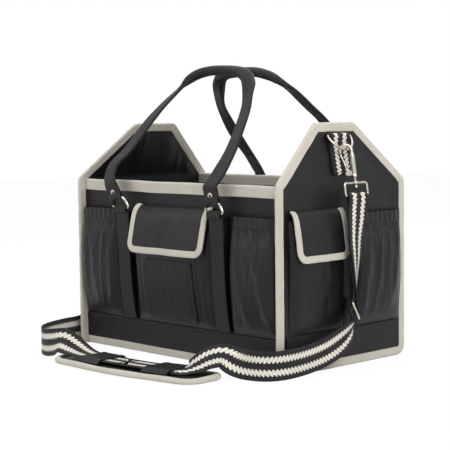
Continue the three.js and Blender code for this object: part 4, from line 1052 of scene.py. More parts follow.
def loopFold(name, sign, steps=16):  # half circle over the loop's foot bar, outer side to inner side
    bar, up = np.array(bars[name]["at"]), np.array(bars[name]["up"])
    across = np.array([0.0, 1, 0])
    out = sign * unitOf(np.cross(across, up))
    radius = hook["loopWire"] + 0.25 + strap["ply"] / 2
    a = np.linspace(0, math.pi, steps)
    path = bar + radius * (np.cos(a)[:, None] * out + np.sin(a)[:, None] * up)
    return path, facing(path, across), radius


def doubledWeb(line, side, name, sign, steps, outer, foot, inner):  # up, over the bar and back
    total = lengthsAlong(line)[-1]
    fold, foldAcross, radius = loopFold(name, sign)
    up, down = np.linspace(0, total - 1, steps), np.linspace(total - 1, foot, 40)
    spread, close = ((radius - 0.9) * smoothStep(total - 16, total - 1, t) for t in (up, down))
    outerP, outerA = offLine(line, side, sign, up, outer(up) + spread)
    innerP, innerA = offLine(line, side, sign, down, inner - close)
    web = Patchwork()
    path = np.vstack([outerP, fold[1:-1], innerP])
    return webRibbon(web, path, np.vstack([outerA, foldAcross[1:-1], innerA]))


def makeRightEnd():
    rows = [*strap["rightEnd"][::-1]]
    points, across = strapRoute([strap["slide"], *rows])
    bar, up = np.array(bars["right"]["at"]), np.array(bars["right"]["up"])
    line = np.vstack([points[:-9], [bar - up * 9], [bar]])
    side = unitOf(np.vstack([across[:-9], [(0, 1, 0)], [(0, 1, 0)]]))
    both = resample(np.hstack([line, side]), 1.6)
    line, side = both[:, :3], unitOf(both[:, 3:])
    web = doubledWeb(line, side, "right", 1, 70, plyOffset, strap["returnFrom"], -0.9)
    piece = web.make("strapRightEnd", None, "striped_webbing", "striped", "strap_right_end")

    # the returning ply is a piece of its own, attached to the right hanger
    back = Patchwork()
    t = np.linspace(strap["returnFrom"], 4, 34)
    downP, downA = offLine(line, side, 1, t, -0.9 - 1.25 * smoothStep(14, 3, t))
    row, along, out = slideRow()
    at = np.array(strap["slideAt"])
    a = np.linspace(-0.2, math.pi + 0.4, 14)
    wrap = at + 2.3 * (-np.cos(a)[:, None] * out - np.sin(a)[:, None] * along)
    webRibbon(back, np.vstack([downP, wrap]), np.vstack([downA, facing(wrap, row[0])]), ply=1.25)
    lower = back.make("strapReturn", "right_hanger", "striped_webbing", "striped")
    anchor = alongLine(line, side, np.array([float(strap["returnFrom"])]))[0][0] * mm
    tuple(along)
    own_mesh(lower)
    return piece


def makeLeftEnd():
    points, across = strapRoute(strap["leftEnd"][::-1])
    bar, up = np.array(bars["left"]["at"]), np.array(bars["left"]["up"])
    foot = leftRoute[-1]
    keep = points[:, 2] < bar[2] - 16
    line = np.vstack([[foot], points[keep][3:], [bar - up * 9], [bar]])
    side = unitOf(np.vstack([[(0, 1, 0)], across[keep][3:], [(0, 1, 0)], [(0, 1, 0)]]))
    both = resample(np.hstack([line, side]), 1.6)
    line, side = both[:, :3], unitOf(both[:, 3:])
    web = doubledWeb(line, side, "left", -1, 44, lambda t: 0.9 * smoothStep(0, 14, t), 6, -0.75)
    return web.make("strapLeftEnd", None, "striped_webbing", "striped", "strap_left_end")


rightEnd = makeRightEnd()
leftEnd = makeLeftEnd()
makeSlide()
for name in ("right", "left"):
    rows = endFrames(name)
    makeRing(name + "EndRing", name + "_hanger", name + "_end_ring", rows["ring"], endRing["radius"],
             endRing["fillet"], endRing["wire"])
    makeHook(name, rows)
    makeEndTab(name, rows)
print("strap ends, slide, hooks and end rings made")

# Shell: end panels, long walls, bindings, floor and board.

tape = {"cover": 1.2, "wide": 12, "rim": 15.5, "thick": 5.4, "middle": -1.5, "stitchIn": 2.2, "sunk": 0.32}
band = {"near": 0.3, "thick": 1.5, "longTop": 46, "endTop": 50, "endHalf": 109.7}


def patchOn(wall):  # patchwork whose flat points go onto a wall
    return Patchwork(lambda p: onWall(wall, p[:, 0], p[:, 1], p[:, 2]))


def edgeFade(s, z, left, right, low, high, reach):
    a = smoothStep(0, reach, s - left) * smoothStep(0, reach, right - s)
    return a * smoothStep(0, reach, z - low) * smoothStep(0, reach, high - z)


def creaseRows(seed, count, left, right):  # soft upright creases, as seen inside the end panels
    draw = random.Random(seed)
    rows = [(draw.uniform(left, right), draw.uniform(-0.18, 0.18), draw.uniform(2.5, 6),
             draw.uniform(0.5, 1)) for _ in range(count)]

    def field(s, z):
        total = 0
        for at, slant, wide, tall in rows:
            away = (s - at - slant * (z - 180)) / wide
            total = total + tall * np.exp(-away**2)
        return total
    return field


def makeLongPanel(wall, seed):
    s, z = np.meshgrid(np.linspace(-bag["wallHalf"], bag["wallHalf"], 110),
                       np.linspace(1.2, bag["rim"] - 1.2, 68))
    waves = bumpField(seed, 6, 70, 190, (0.7, 1.3))
    fade = edgeFade(s, z, -bag["wallHalf"], bag["wallHalf"], 20, bag["rim"], 22)
    push = 0.1 - 0.55 * (1 + 0.8 * waves(s, z)) * fade
    panel = patchOn(wall)
    panel.slab(xyz(s, push, z), xyz(s, push - bag["wall"], z))
    panel.make(wall + "Panel", "bag", "coated_nylon", "shell", wall + "_panel")


def makeEndPanel(name, seed):
    rows = np.concatenate([np.linspace(1.2, bag["shoulder"] - 12, 64),
                           np.linspace(bag["shoulder"] - 9, bag["peak"] - 1.2, 34)])
    u, z = np.meshgrid(np.sign(np.linspace(-1, 1, 81)) * np.abs(np.linspace(-1, 1, 81)) ** 0.94, rows)
    s = u * houseHalf(z, tape["cover"])
    waves = bumpField(seed, 6, 60, 150, (0.6, 1.6))
    folds = creaseRows(seed, 7, -92, 92)
    fade = edgeFade(s, z, -houseHalf(z, 12), houseHalf(z, 12), 40, bag["peak"] - 10, 20)
    outer = -0.5 * (1 + 0.7 * waves(s, z)) * fade
    creased = (1.3 * folds(s, z) - 0.5 * waves(s * 1.4, z)) * fade * smoothStep(60, 150, z)
    inner = outer - bag["wall"] - creased
    panel = patchOn(name)
    panel.slab(xyz(s, outer, z), xyz(s, np.maximum(inner, -6.5), z))
    panel.make(name + "EndPanel", "bag", "coated_nylon", "shell", name + "_end_panel")


def tapeSection(wide, thick, steps=5):  # folded tape: a full outer fold and thin sewn edges
    half, full, thin = wide / 2, thick / 2, thick / 2 - 0.35
    turn = np.linspace(math.pi / 2, -math.pi / 2, 9)
    fold = [(half - full + full * math.cos(a), full * math.sin(a)) for a in turn]
    low = [(x, -y) for x, y in zip(np.linspace(half - full, -half + 0.4, steps + 1)[1:],
                                   np.linspace(full, thin, steps + 1)[1:])]
    edge = [(-half, -thin + 0.45), (-half, thin - 0.45)]
    return np.array([*fold, *low, *edge, *[(x, -y) for x, y in low[::-1]]])


def sewnTape(patch, path, across, out, wide, thick, closed, seed):
    draw = bumpField(seed, 5, 12, 60)
    run = lengthsAlong(path)
    puff = 1 + 0.035 * draw(run, 0 * run)
    lean = 0.35 * draw(run, 30 + 0 * run)
    section = tapeSection(wide, thick)[None] * np.stack([np.ones_like(puff), puff], -1)[:, None]
    patch.sweep(path + across * lean[:, None] * 0.4, across, out, section, closed=closed)


def wallTape(wall, name, node, path, across, out, wide, closed, seed):  # a binding with its two seams
    binding, sewn = patchOn(wall), patchOn(wall)
    sewnTape(binding, path, across, out, wide, tape["thick"], closed, seed)
    binding.make(name, "bag", "light_tape", "tape", node)
    if closed:
        path, across, out = (np.concatenate([v, v[:1]]) for v in (path, across, out))
    line = path - across * (wide / 2 - tape["stitchIn"])
    for face in (1, -1):
        lift = face * (tape["thick"] / 2 - tape["sunk"])
        sewn.stitches(line + out * lift, out * face, *seams["tape"])
    sewn.make(name + "Stitches", "bag", "light_tape", "thread")


def makeEndBinding(name, seed):
    outline = resample(houseOutline(tape["wide"] / 2), 3.0, closed=True)
    path = xyz(outline[:, 0], tape["middle"], outline[:, 1])
    t = tangents(path, closed=True)
    out = facing(t)
    across = awayFrom(path.mean(0), path, t, out)
    wallTape(name, name + "EndBinding", name + "_end_binding", path, across, out, tape["wide"], True, seed)


def makeRimBinding(wall, seed):
    half = bag["wallHalf"]
    s = np.linspace(-half, half, 130)
    wave = bumpField(seed, 4, 90, 260)
    z = bag["rim"] - tape["rim"] / 2 - 0.35 + 0.3 * wave(s, 0 * s) * smoothStep(0, 30, half - np.abs(s))
    path = xyz(s, tape["middle"], z)
    across, out = facing(path, (0.0, 0, 1)), facing(path)
    wallTape(wall, wall + "RimBinding", wall + "_rim_binding", path, across, out, tape["rim"], False,
             seed + 3)


def makeBaseBand(wall, low, high, half, seed):
    s = np.linspace(-half, half, 120)
    share = np.array([0, 0.02, 0.15, 0.35, 0.55, 0.72, 0.79, 0.8, 0.82, 0.9, 0.97, 0.995, 1])
    s, q = np.meshgrid(s, share)
    z = low + q * (high - low)
    waves = bumpField(seed, 6, 25, 80, (1.5, 0.7))
    hem = 0.55 * smoothStep(0.795, 0.815, q) * (1 - 0.7 * smoothStep(0.98, 1, q))
    lift = band["near"] + band["thick"] - 0.5 + hem + 0.35 * waves(s, z) * (1 - q) * smoothStep(0, 0.2, q)
    layer = patchOn(wall)
    layer.slab(xyz(s, lift, z), xyz(s, band["near"], z))
    layer.make(wall + "BaseBand", "bag", "heavy_nylon", "heavy", wall + "_base_band")
    line = xyz(np.linspace(-half + 2, half - 2, 60), band["near"] + band["thick"] - 0.05,
               low + 0.86 * (high - low))
    sewn = patchOn(wall).stitches(line, facing(line), *seams["base"])
    sewn.make(wall + "BaseBandStitches", "bag", "heavy_nylon", "blackThread")


footTape = {"low": 1.6, "wide": 10.4, "near": 1.72, "edge": 1.75, "puff": 1.15, "seam": 9.3,
            "acrossShares": [0, 0.03, 0.1, 0.3, 0.5, 0.7, 0.9, 0.97, 1]}


def makeFootBinding(wall, seed):  # pale tape along the lower edge of a long wall
    half = bag["wallHalf"] - 0.5
    s, q = np.meshgrid(np.linspace(-half, half, 120), footTape["acrossShares"])
    waves = bumpField(seed, 4, 40, 120)
    z = footTape["low"] + q * (footTape["wide"] + 0.35 * waves(s, 0 * s))
    lift = footTape["edge"] + footTape["puff"] * np.sqrt(np.clip(1 - (2 * q - 1) ** 8, 0, 1))
    trim = patchOn(wall)
    trim.slab(xyz(s, lift, z), xyz(s, footTape["near"], z))
    trim.make(wall + "FootBinding", "bag", "light_tape", "tape")
    line = xyz(np.linspace(-half + 1, half - 1, 60), footTape["edge"] + footTape["puff"] - 0.05,
               footTape["seam"])
    sewn = patchOn(wall).stitches(line, facing(line), *seams["base"])
    sewn.make(wall + "FootBindingStitches", "bag", "light_tape", "thread")


def plate(patch, halfX, halfY, low, high, radius, bevel):
    rings = []
    for z, inset in ((low, bevel), (low + bevel, 0), (high - bevel, 0), (high, bevel)):
        w, h = halfX - inset, halfY - inset
        flat = roundedOutline([(-w, -h), (w, -h), (w, h), (-w, h)], [radius - inset] * 4, 6)
        rings.append(np.concatenate([flat, np.full((len(flat), 1), z)], 1))
    patch.grid(np.array(rings), closeCols=True, caps=(True, True))


plates = {  # half length, half width, height over the floor's underside, thickness, corner and edge
    "basePanel": {"half": (195.5, 109.4), "up": 0, "thick": 3, "corner": 3, "edge": 0.6,
                  "finish": ("heavy_nylon", "heavy", "base_panel")},
    "baseBoard": {"half": (192.8, 106.7), "up": 3.3, "thick": 3, "corner": 9, "edge": 0.9,
                  "finish": ("board", "board", "base_board")},
}


def makeFloor():
    for name, row in plates.items():
        low = bag["floor"] + row["up"]
        piece = Patchwork()
        plate(piece, *row["half"], low, low + row["thick"], row["corner"], row["edge"])
        slot, finish, node = row["finish"]
        piece.make(name, "bag", slot, finish, node, angle=30)


for wall, seed in (("front", 21), ("rear", 33)):
    makeLongPanel(wall, seed)
    makeRimBinding(wall, seed + 1)
    makeBaseBand(wall, 1.5, band["longTop"], bag["wallHalf"], seed + 2)
    makeFootBinding(wall, seed + 4)
for name, seed in (("right", 45), ("left", 57)):
    makeEndPanel(name, seed)
    makeEndBinding(name, seed + 1)
    makeBaseBand(name, bag["floor"], band["endTop"], band["endHalf"], seed + 2)
makeFloor()
print("shell, bindings and floor made")

# Pockets, flaps and the leather patch.

pocket = {"near": 0.3, "cloth": 0.9, "frontFoot": 46.3, "endFoot": 50.3, "mouth": 200, "flapMouth": 196,
          "hem": 14}
gatherRows = [(0, 0), (0.05, 0.3), (0.16, 0.58), (0.34, 0.88), (0.55, 1), (0.75, 0.88), (0.89, 0.62),
              (1, 0.55)]
plainRows = [(0, 0), (0.04, 0.22), (0.16, 0.5), (0.29, 0.7), (0.43, 0.85), (0.56, 0.95), (0.69, 1),
             (0.83, 0.85), (0.93, 0.65), (1, 0.475)]
spans = {"left": (-194, -108.5), "middle": (-79.5, 79.5), "right": (108.5, 194),
         "flap": (-75, 75)}  # along a long wall
endSpans = {"flapPocket": (-104, -3), "gathered": (17, 112), "flap": (-104, -6)}  # along an end panel
proud = {"front": 18, "rear": 18, "frontPlain": 20, "frontFlap": 25, "end": 15, "endPlain": 12,
         "endFlap": 17.5}


def sideShare(u):
    return np.sqrt(np.clip(1 - np.abs(u) ** 6, 0, 1))


def proudAt(table, v):
    xs, ys = zip(*table)
    return easeTable(xs, ys, v)


def bigFolds(seed, count, drift, wide):  # broad soft ridges that run down from the hem
    draw = random.Random(seed)
    rows = [((k + draw.uniform(0.2, 0.8)) / count * 2 - 1, draw.gauss(drift, 0.18),
             draw.uniform(0.7, 1.3) * wide, draw.uniform(0.55, 1)) for k in range(count)]

    def field(u, v):
        total = 0
        for at, slant, width, tall in rows:
            away = (u - at - slant * (0.9 - v)) / (width * (0.55 + 0.9 * (0.95 - v)))
            total = total + tall * np.exp(-np.abs(away) ** 1.6)
        return total
    return field


def narrowGathers(seed, count):  # small sharp tucks held by the hem
    wander = bumpField(seed, 5, 0.35, 1.2)
    size = bumpField(seed + 1, 5, 0.15, 0.5)

    def field(u, v):
        phase = math.pi * count * (u + 0.05 * wander(u, v)) / 2
        return (1 - np.abs(np.sin(phase)) ** 0.7) * (0.75 + 0.35 * size(u, 0 * u))
    return field


def gatherLift(reach, foot, mouth, seed, tucks, drift):
    folds, sharp = bigFolds(seed, 5, drift, 0.17), narrowGathers(seed + 5, tucks)
    soft, small = bumpField(seed + 9, 6, 0.5, 1.4), bumpField(seed + 13, 7, 0.12, 0.4)
    edge = 1 - pocket["hem"] / (mouth - foot)

    def lift(u, v):
        side = sideShare(u)
        base = reach * proudAt(gatherRows, v) * side
        under = smoothStep(0, 0.1, edge - v)
        near = smoothStep(0.42, 0.02, edge - v) * smoothStep(-0.012, 0.012, edge - v)
        inside = smoothStep(0, 0.12, 1 - np.abs(u))
        body = smoothStep(0.02, 0.22, v)
        total = base + (2.3 * folds(u, v) - 1.3) * under * body * inside
        total = total - 1.5 * sharp(u, v) * near * inside
        total = total + (0.5 * soft(u, v) + 0.22 * small(u, v)) * under * body * inside
        hem = smoothStep(-0.006, 0.006, v - edge)
        lines = 0.1 * np.sin((v - edge) * (mouth - foot) * math.tau / 3.4)
        total = total + hem * (0.55 + lines + 0.4 * np.sin(math.pi * tucks * u / 2 + 1) * inside)
        return np.maximum(total, 0.25 + 0.6 * hem) * side ** 0.3
    return lift


def pocketColumns(count):
    u = np.linspace(-1, 1, count)
    return np.sign(u) * (1 - (1 - np.abs(u)) ** 1.18)


def pocketRows(count):
    return np.concatenate([np.linspace(0, 0.06, 8)[:-1], np.linspace(0.06, 0.8, count)[:-1],
                           np.linspace(0.8, 0.995, count // 2), [1.0]])


def pocketSkin(wall, name, span, foot, mouth, lift, node, columns=86):
    left, right = span
    u, v = np.meshgrid(pocketColumns(columns), pocketRows(84))
    s = (left + right) / 2 + u * (right - left) / 2
    z = foot + v * (mouth - foot)
    out = pocket["near"] + lift(u, v)
    deep = pocket["cloth"] / ((right - left) / 2)
    inner = pocket["near"] * 0.4 + np.maximum(lift(u, v) - pocket["cloth"], 0) * sideShare(u) ** 0.5
    skin = patchOn(wall)
    skin.slab(xyz(s, out, z), xyz(s - u * deep * 4, np.minimum(inner, out - 0.15), z))
    return skin.make(name, "bag", "pocket_cloth", "pocket", node)


def hemStitches(wall, name, span, foot, mouth, lift):
    left, right = span
    edge = 1 - pocket["hem"] / (mouth - foot)
    sewn = patchOn(wall)
    for level in (edge + 0.012, 0.988):
        u = np.linspace(-0.96, 0.96, 60)
        s = (left + right) / 2 + u * (right - left) / 2
        n = pocket["near"] + lift(u, np.full_like(u, level)) - 0.05
        line = xyz(s, n, foot + level * (mouth - foot))
        sewn.stitches(line, facing(line), *seams["hem"])
    return sewn.make(name + "Stitches", "bag", "pocket_cloth", "blackThread")


def gatheredPocket(wall, name, span, foot, reach, seed, tucks, drift, node):
    lift = gatherLift(reach, foot, pocket["mouth"], seed, tucks, drift)
    piece = pocketSkin(wall, name, span, foot, pocket["mouth"], lift, node)
    sewn = hemStitches(wall, name, span, foot, pocket["mouth"], lift)


def plainLift(reach, seed, pleats, half, creases):
    soft, small = bumpField(seed, 6, 0.5, 1.5), bumpField(seed + 3, 7, 0.15, 0.45)

    def lift(u, v):
        side = sideShare(u)
        inside = smoothStep(0, 0.12, 1 - np.abs(u))
        total = reach * proudAt(plainRows, v) * side
        body = smoothStep(0.03, 0.25, v) * smoothStep(0, 0.08, 1 - v)
        total = total + creases * (0.8 * soft(u, v) + 0.3 * small(u, v)) * body * inside
        for at, depth in pleats:  # pressed pleats beside the patch
            away = (u * half - at) * math.copysign(1, at)
            total = total - depth * np.exp(-np.where(away > 0, away / 4.5, away / 1.1) ** 2) * body * side
        return np.maximum(total, 0.3) * side ** 0.3
    return lift


pressed = [(-56, 2.0), (56, 2.0), (-66, 1.4), (67, 1.4)]  # place and depth, beside the patch
frontLift = plainLift(proud["frontPlain"], 61, pressed, spans["middle"][1], 0.55)
rearRows = {  # columns of the mesh, seed, small tucks and drift of the folds
    "left": (70, 90, 15, 0.25), "middle": (110, 97, 27, 0.0), "right": (70, 104, 15, -0.2),
}


def rearPocket():  # one sheet sewn down into three pockets
    foot, mouth = pocket["frontFoot"], pocket["mouth"]
    v = pocketRows(84)
    lifts = {k: gatherLift(proud["rear"], foot, mouth, *row[1:]) for k, row in rearRows.items()}
    s = np.concatenate([spans[k][0] + (spans[k][1] - spans[k][0]) * (pocketColumns(row[0]) + 1) / 2
                        for k, row in rearRows.items()])
    grid = np.zeros((len(v), len(s)))
    start = 0
    for (n, _, _, _), lift in zip(rearRows.values(), lifts.values()):
        u, w = np.meshgrid(pocketColumns(n), v)
        grid[:, start:start + n] = lift(u, w)
        start += n
    z = np.broadcast_to((foot + v * (mouth - foot))[:, None], grid.shape)
    across = np.broadcast_to(s, grid.shape)
    out = pocket["near"] + np.maximum(grid, pocket["cloth"])
    skin = patchOn("rear")
    skin.slab(xyz(across, out, z),
              xyz(across, np.full_like(out, 0.1) + np.maximum(out - 1.4, 0), z))
    piece = skin.make("rearPocket", "bag", "pocket_cloth", "pocket", "rear_pocket")
    sewn = [hemStitches("rear", f"rearPocket{i + 1}", spans[k], foot, mouth, lift)
            for i, (k, lift) in enumerate(lifts.items())]


flap = {"hinge": 207, "drop": 64, "stand": 1.8, "thick": 1.6, "binding": 9, "bindingThick": 3.6, "corner": 15,
        "rows": [(0, 0), (0.16, 0.025), (0.35, 0.085), (0.52, 0.2), (0.67, 0.39), (0.8, 0.59), (0.93, 0.81),
                 (1, 1)]}


def flapBend(wall, reach, curl):  # flat (s, lift, t down the flap) to the curved flap on its wall
    line = curveThrough([(flap["stand"] + out * (reach - flap["stand"]), flap["hinge"] - down * flap["drop"])
                         for out, down in flap["rows"]], 10)
    run = lengthsAlong(line)
    total = run[-1]
    along = tangents(line)

    def place(p):
        t = p[:, 2]
        k = np.clip(t, 0, total)
        way = unitOf(readOff(k, run, along))
        at = readOff(k, run, line) + way * (t - k)[:, None]
        out = np.stack([-way[:, 1], way[:, 0]], -1)
        raised = p[:, 1] + curl(p[:, 0], t / total)
        at = at + out * raised[:, None]
        return onWall(wall, p[:, 0], at[:, 0], at[:, 1])
    return place, total


def flapHalf(half, inset, t, total):
    r = flap["corner"] - inset
    dip = np.clip(t - (total - inset - r), 0, r)
    return half - inset - (r - np.sqrt(np.maximum(r * r - dip * dip, 0)))


def makeFlap(wall, name, left, right, reach, seed, node):
    middle, half = (left + right) / 2, (right - left) / 2
    soft = bumpField(seed, 6, 25, 90)

    def curl(s, t):
        side = (s - middle) / half
        lifted = 1.3 * np.clip(np.abs(side) - 0.72, 0, 1) ** 2 / 0.08 * smoothStep(0.45, 0.05, t)
        return lifted + 0.45 * soft(s, 60 * t) * smoothStep(0.1, 0.4, t) * (1 - 0.6 * np.abs(side) ** 4)

    place, total = flapBend(wall, reach, curl)
    inset = 2.2
    t = np.concatenate([np.linspace(0, total - flap["corner"], 34)[:-1],
                        total - inset - (flap["corner"] - inset) * np.linspace(1, 0, 16) ** 1.5])
    u, t = np.meshgrid(np.linspace(-1, 1, 74), t)
    s = middle + u * flapHalf(half, inset, t, total)
    sheet = Patchwork(place)
    h = flap["thick"] / 2
    sheet.slab(xyz(s, h, t), xyz(s, -h, t))
    roll = np.array([(x, 0.0, 0.0) for x in np.linspace(middle - half + 1.2, middle + half - 1.2, 40)])
    sheet.wire(roll, 1.1, 10)
    piece = sheet.make(name, node, "pocket_cloth", "pocket", node)

    w = flap["binding"] / 2
    corner = flap["corner"] - w
    points = [(left + w, 1.0), (left + w, total - w), (right - w, total - w), (right - w, 1.0)]
    outline = resample(roundedOutline(points, [0, corner, corner, 0], 10), 1.6)
    path = xyz(outline[:, 0], 0, outline[:, 1])
    out = facing(path)
    across = awayFrom((middle, 0, total / 3), path, tangents(path), out)
    binding = Patchwork(place)
    sewnTape(binding, path, across, out, flap["binding"], flap["bindingThick"], False, seed + 2)
    edge = binding.make(name + "Binding", node, "light_tape", "tape", node + "_binding")
    sewn = Patchwork(place)
    line = path - across * (w - 1.6)
    for face in (1, -1):
        lift = face * (flap["bindingThick"] / 2 - tape["sunk"])
        sewn.stitches(line + out * lift, out * face, *seams["flapTape"])
    thread = sewn.make(name + "BindingStitches", node, "light_tape", "thread")


patch = {"half": 49, "low": 52, "high": 136, "thick": 1.6, "corner": 5, "seat": 0.3,
         "frames": [(5.0, 0.75), (8.2, 0.55)], "depth": 0.55}


def makePatch():  # leather patch with two pressed frame lines, otherwise bare
    rows = np.linspace(0, 1, 118)
    rows = 0.5 - 0.5 * np.cos(math.pi * rows) * (1 - 0.35 * np.sin(math.pi * rows) ** 2)
    u, q = np.meshgrid(np.linspace(-1, 1, 130), rows)
    low, high, r = patch["low"], patch["high"], patch["corner"]
    z = low + q * (high - low)
    dip = np.clip(r - np.minimum(z - low, high - z), 0, r)
    s = u * (patch["half"] - (r - np.sqrt(np.maximum(r * r - dip * dip, 0))))
    fromSide = patch["half"] - np.abs(s)
    fromEnd = np.minimum(z - low, high - z)
    edge = np.minimum(fromSide, fromEnd)
    press = 0
    for at, wide in patch["frames"]:
        corner = np.hypot(np.clip(at + r - fromSide, 0, None), np.clip(at + r - fromEnd, 0, None))
        away = np.where((fromSide < at + r) & (fromEnd < at + r), r - corner, edge - at)
        press = press + patch["depth"] * np.exp(-(away / wide) ** 2)
    fold = bumpField(71, 5, 18, 60)
    foot, mouth = pocket["frontFoot"], pocket["flapMouth"]
    base = pocket["near"] + frontLift(s / spans["middle"][1], (z - foot) / (mouth - foot)) + patch["seat"]
    top = base + patch["thick"] - press - 0.7 * np.clip(1 - edge / 1.1, 0, 1) ** 2 + 0.08 * fold(s, z)
    hide = patchOn("front")
    hide.slab(xyz(s, top, z), xyz(s, base, z))
    hide.make("leatherPatch", "bag", "patch_leather", "leather", "leather_patch")


foot = pocket["frontFoot"]
gatheredPocket("front", "frontLeftPocket", spans["left"], foot, proud["front"], 101, 17, -0.1,
               "front_left_pocket")
gatheredPocket("front", "frontRightPocket", spans["right"], foot, proud["front"], 119, 17, 0.55,
               "front_right_pocket")
piece = pocketSkin("front", "frontFlapPocket", spans["middle"], foot, pocket["flapMouth"], frontLift,
                   "front_flap_pocket", columns=150)
makeFlap("front", "frontFlap", *spans["flap"], proud["frontFlap"], 141, "front_flap")
makePatch()
rearPocket()
for name, seed in (("right", 151), ("left", 171)):
    foot = pocket["endFoot"]
    lift = plainLift(proud["endPlain"], seed, [], 50.5, 1.0)
    piece = pocketSkin(name, name + "FlapPocket", endSpans["flapPocket"], foot, pocket["flapMouth"], lift,
                       name + "_flap_pocket", columns=96)
    gatheredPocket(name, name + "GatheredPocket", endSpans["gathered"], foot, proud["end"], seed + 3, 19,
                   -0.2, name + "_gathered_pocket")
    makeFlap(name, name + "Flap", *endSpans["flap"], proud["endFlap"], seed + 9, name + "_flap")
print("pockets, flaps and patch made")

# Ring tabs, rings, rivets and handles.

tab = {"at": 94, "wide": 25, "ply": 1.7, "stand": 18.3, "bar": 203, "foot": 46.3, "foldGap": 0.25,
       "foldHalf": 10.8, "foldWaist": 4.2, "box": [(-9.5, 172), (9.5, 172), (9.5, 188), (-9.5, 188)],
       "rows": [(0, 0.2), (0.19, 0.5), (0.43, 0.69), (0.7, 0.8), (0.94, 0.92)]}
smallRing = {"radius": 16, "fillet": 3, "wire": 1.7}
footRow = {"rise": 31, "rivet": 23.6, "web": 25, "ply": 1.8, "gap": 0.15}
footTurns = {"front": {"left": (12, -22), "right": (8, -4)}, "rear": {"left": (5, -10), "right": (5, -19)}}


def footFrame(wall, end):
    tilt, lean = (math.radians(a) for a in footTurns[wall][end])
    side = -1 if end == "left" else 1
    u0, v0 = np.array([1.0, 0, 0]), np.array([0, -math.sin(tilt), math.cos(tilt)])
    v = v0 * math.cos(lean) + u0 * math.sin(lean)
    u = u0 * math.cos(lean) - v0 * math.sin(lean)
    at = np.array([side * tab["at"], -bag["longFace"] - tab["stand"], tab["bar"]])
    turn = halfTurn(wall == "rear")
    w = np.cross(u0, v0)
    rows = {"ring": (u0, v0, w, at), "web": (u, v, w, at)}
    return {key: [turn @ x for x in row] for key, row in rows.items()}


def makeRingTab(wall, end, name):
    side = -1 if end == "left" else 1
    low = 0.9 if wall == "front" else 2.3
    face = [(out * tab["stand"] - 0.4, tab["foot"] + up * (tab["bar"] - tab["foot"]))
            for up, out in tab["rows"]]
    face[0] = (max(face[0][0], low + 2.2), face[0][1] + 1)
    fold = smallRing["wire"] + tab["foldGap"] + tab["ply"] / 2
    bend = [(tab["stand"] + fold * math.cos(a), tab["bar"] + fold * math.sin(a))
            for a in np.linspace(-0.35, math.pi + 0.3, 13)]
    front = curveThrough([*face, (bend[0][0] - 0.2, bend[0][1] - 4.5)], 6)
    back = [(bend[-1][0] + 0.4, bend[-1][1] - 4), (face[-1][0] - 1.9, face[-1][1] - 6),
            (face[-1][0] - 3.2, face[-1][1] - 22)]
    line = resample(np.vstack([front, bend, back]), 1.7)
    path = xyz(side * tab["at"], line[:, 0], line[:, 1])
    web = patchOn(wall)
    webRibbon(web, path, facing(path, (1.0, 0, 0)), tab["wide"] - 0.4, tab["ply"])
    rows = np.array([(n - 1.25, z) for n, z in front[:-3]])
    u, k = np.meshgrid(np.linspace(-1, 1, 9), np.arange(len(rows)))
    share = k / (len(rows) - 1)
    half = tab["foldHalf"] - tab["foldWaist"] * np.sin(math.pi * share) ** 0.7
    s = side * tab["at"] + u * half
    outer = np.maximum(rows[k, 0] - 0.5 * np.abs(u) ** 3, low + 0.4)
    inner = np.full_like(s, low)
    gusset = patchOn(wall)
    gusset.slab(xyz(s, outer, rows[k, 1]), xyz(s, inner, rows[k, 1]))
    web.make(name + "RingTab", "bag", "black_webbing", "band", nodeOf(name) + "_ring_tab")
    gusset.make(name + "TabFold", "bag", "pocket_cloth", "pocket")
    sewn = patchOn(wall)
    lift = tab["ply"] / 2 - 0.05
    for a, b in boxRuns:
        line = []
        for q in np.linspace(0, 1, 9):
            s0, z0 = (tab["box"][a][i] * (1 - q) + tab["box"][b][i] * q for i in (0, 1))
            line.append((side * tab["at"] + s0, np.interp(z0, front[:, 1], front[:, 0]) + lift, z0))
        line = np.array(line)
        sewn.stitches(line, facing(line), *seams["tabBox"])
    for edge in (-10.6, 10.6):
        line = np.array([(side * tab["at"] + edge, n + lift, z) for n, z in front if z < 168])
        sewn.stitches(line, facing(line), *seams["tabEdge"])
    sewn.make(name + "TabStitches", "bag", "black_webbing", "blackThread")


def nodeOf(name):  # frontLeft names its nodes front_left
    return "".join("_" + c.lower() if c.isupper() else c for c in name)


def makeRivet(name, row, body):
    half = [(2.55, 0.01), (2.5, 1.1), (2.6, 1.6), (3.0, 2.0), (3.35, 2.6), (3.42, 3.1), (3.2, 3.75),
            (2.8, 4.12), (2.4, 4.2), (2.12, 4.0), (2.05, 1.6)]
    profile = [*half, *[(-h, r) for h, r in half[::-1]]]
    stud = Patchwork()
    stud.turned(profile, placeIn(row, (0, footRow["rivet"], 0)), row[2], 28)
    stud.make(name + "Rivet", body, "nickel", "nickel", nodeOf(name) + "_rivet", angle=50)


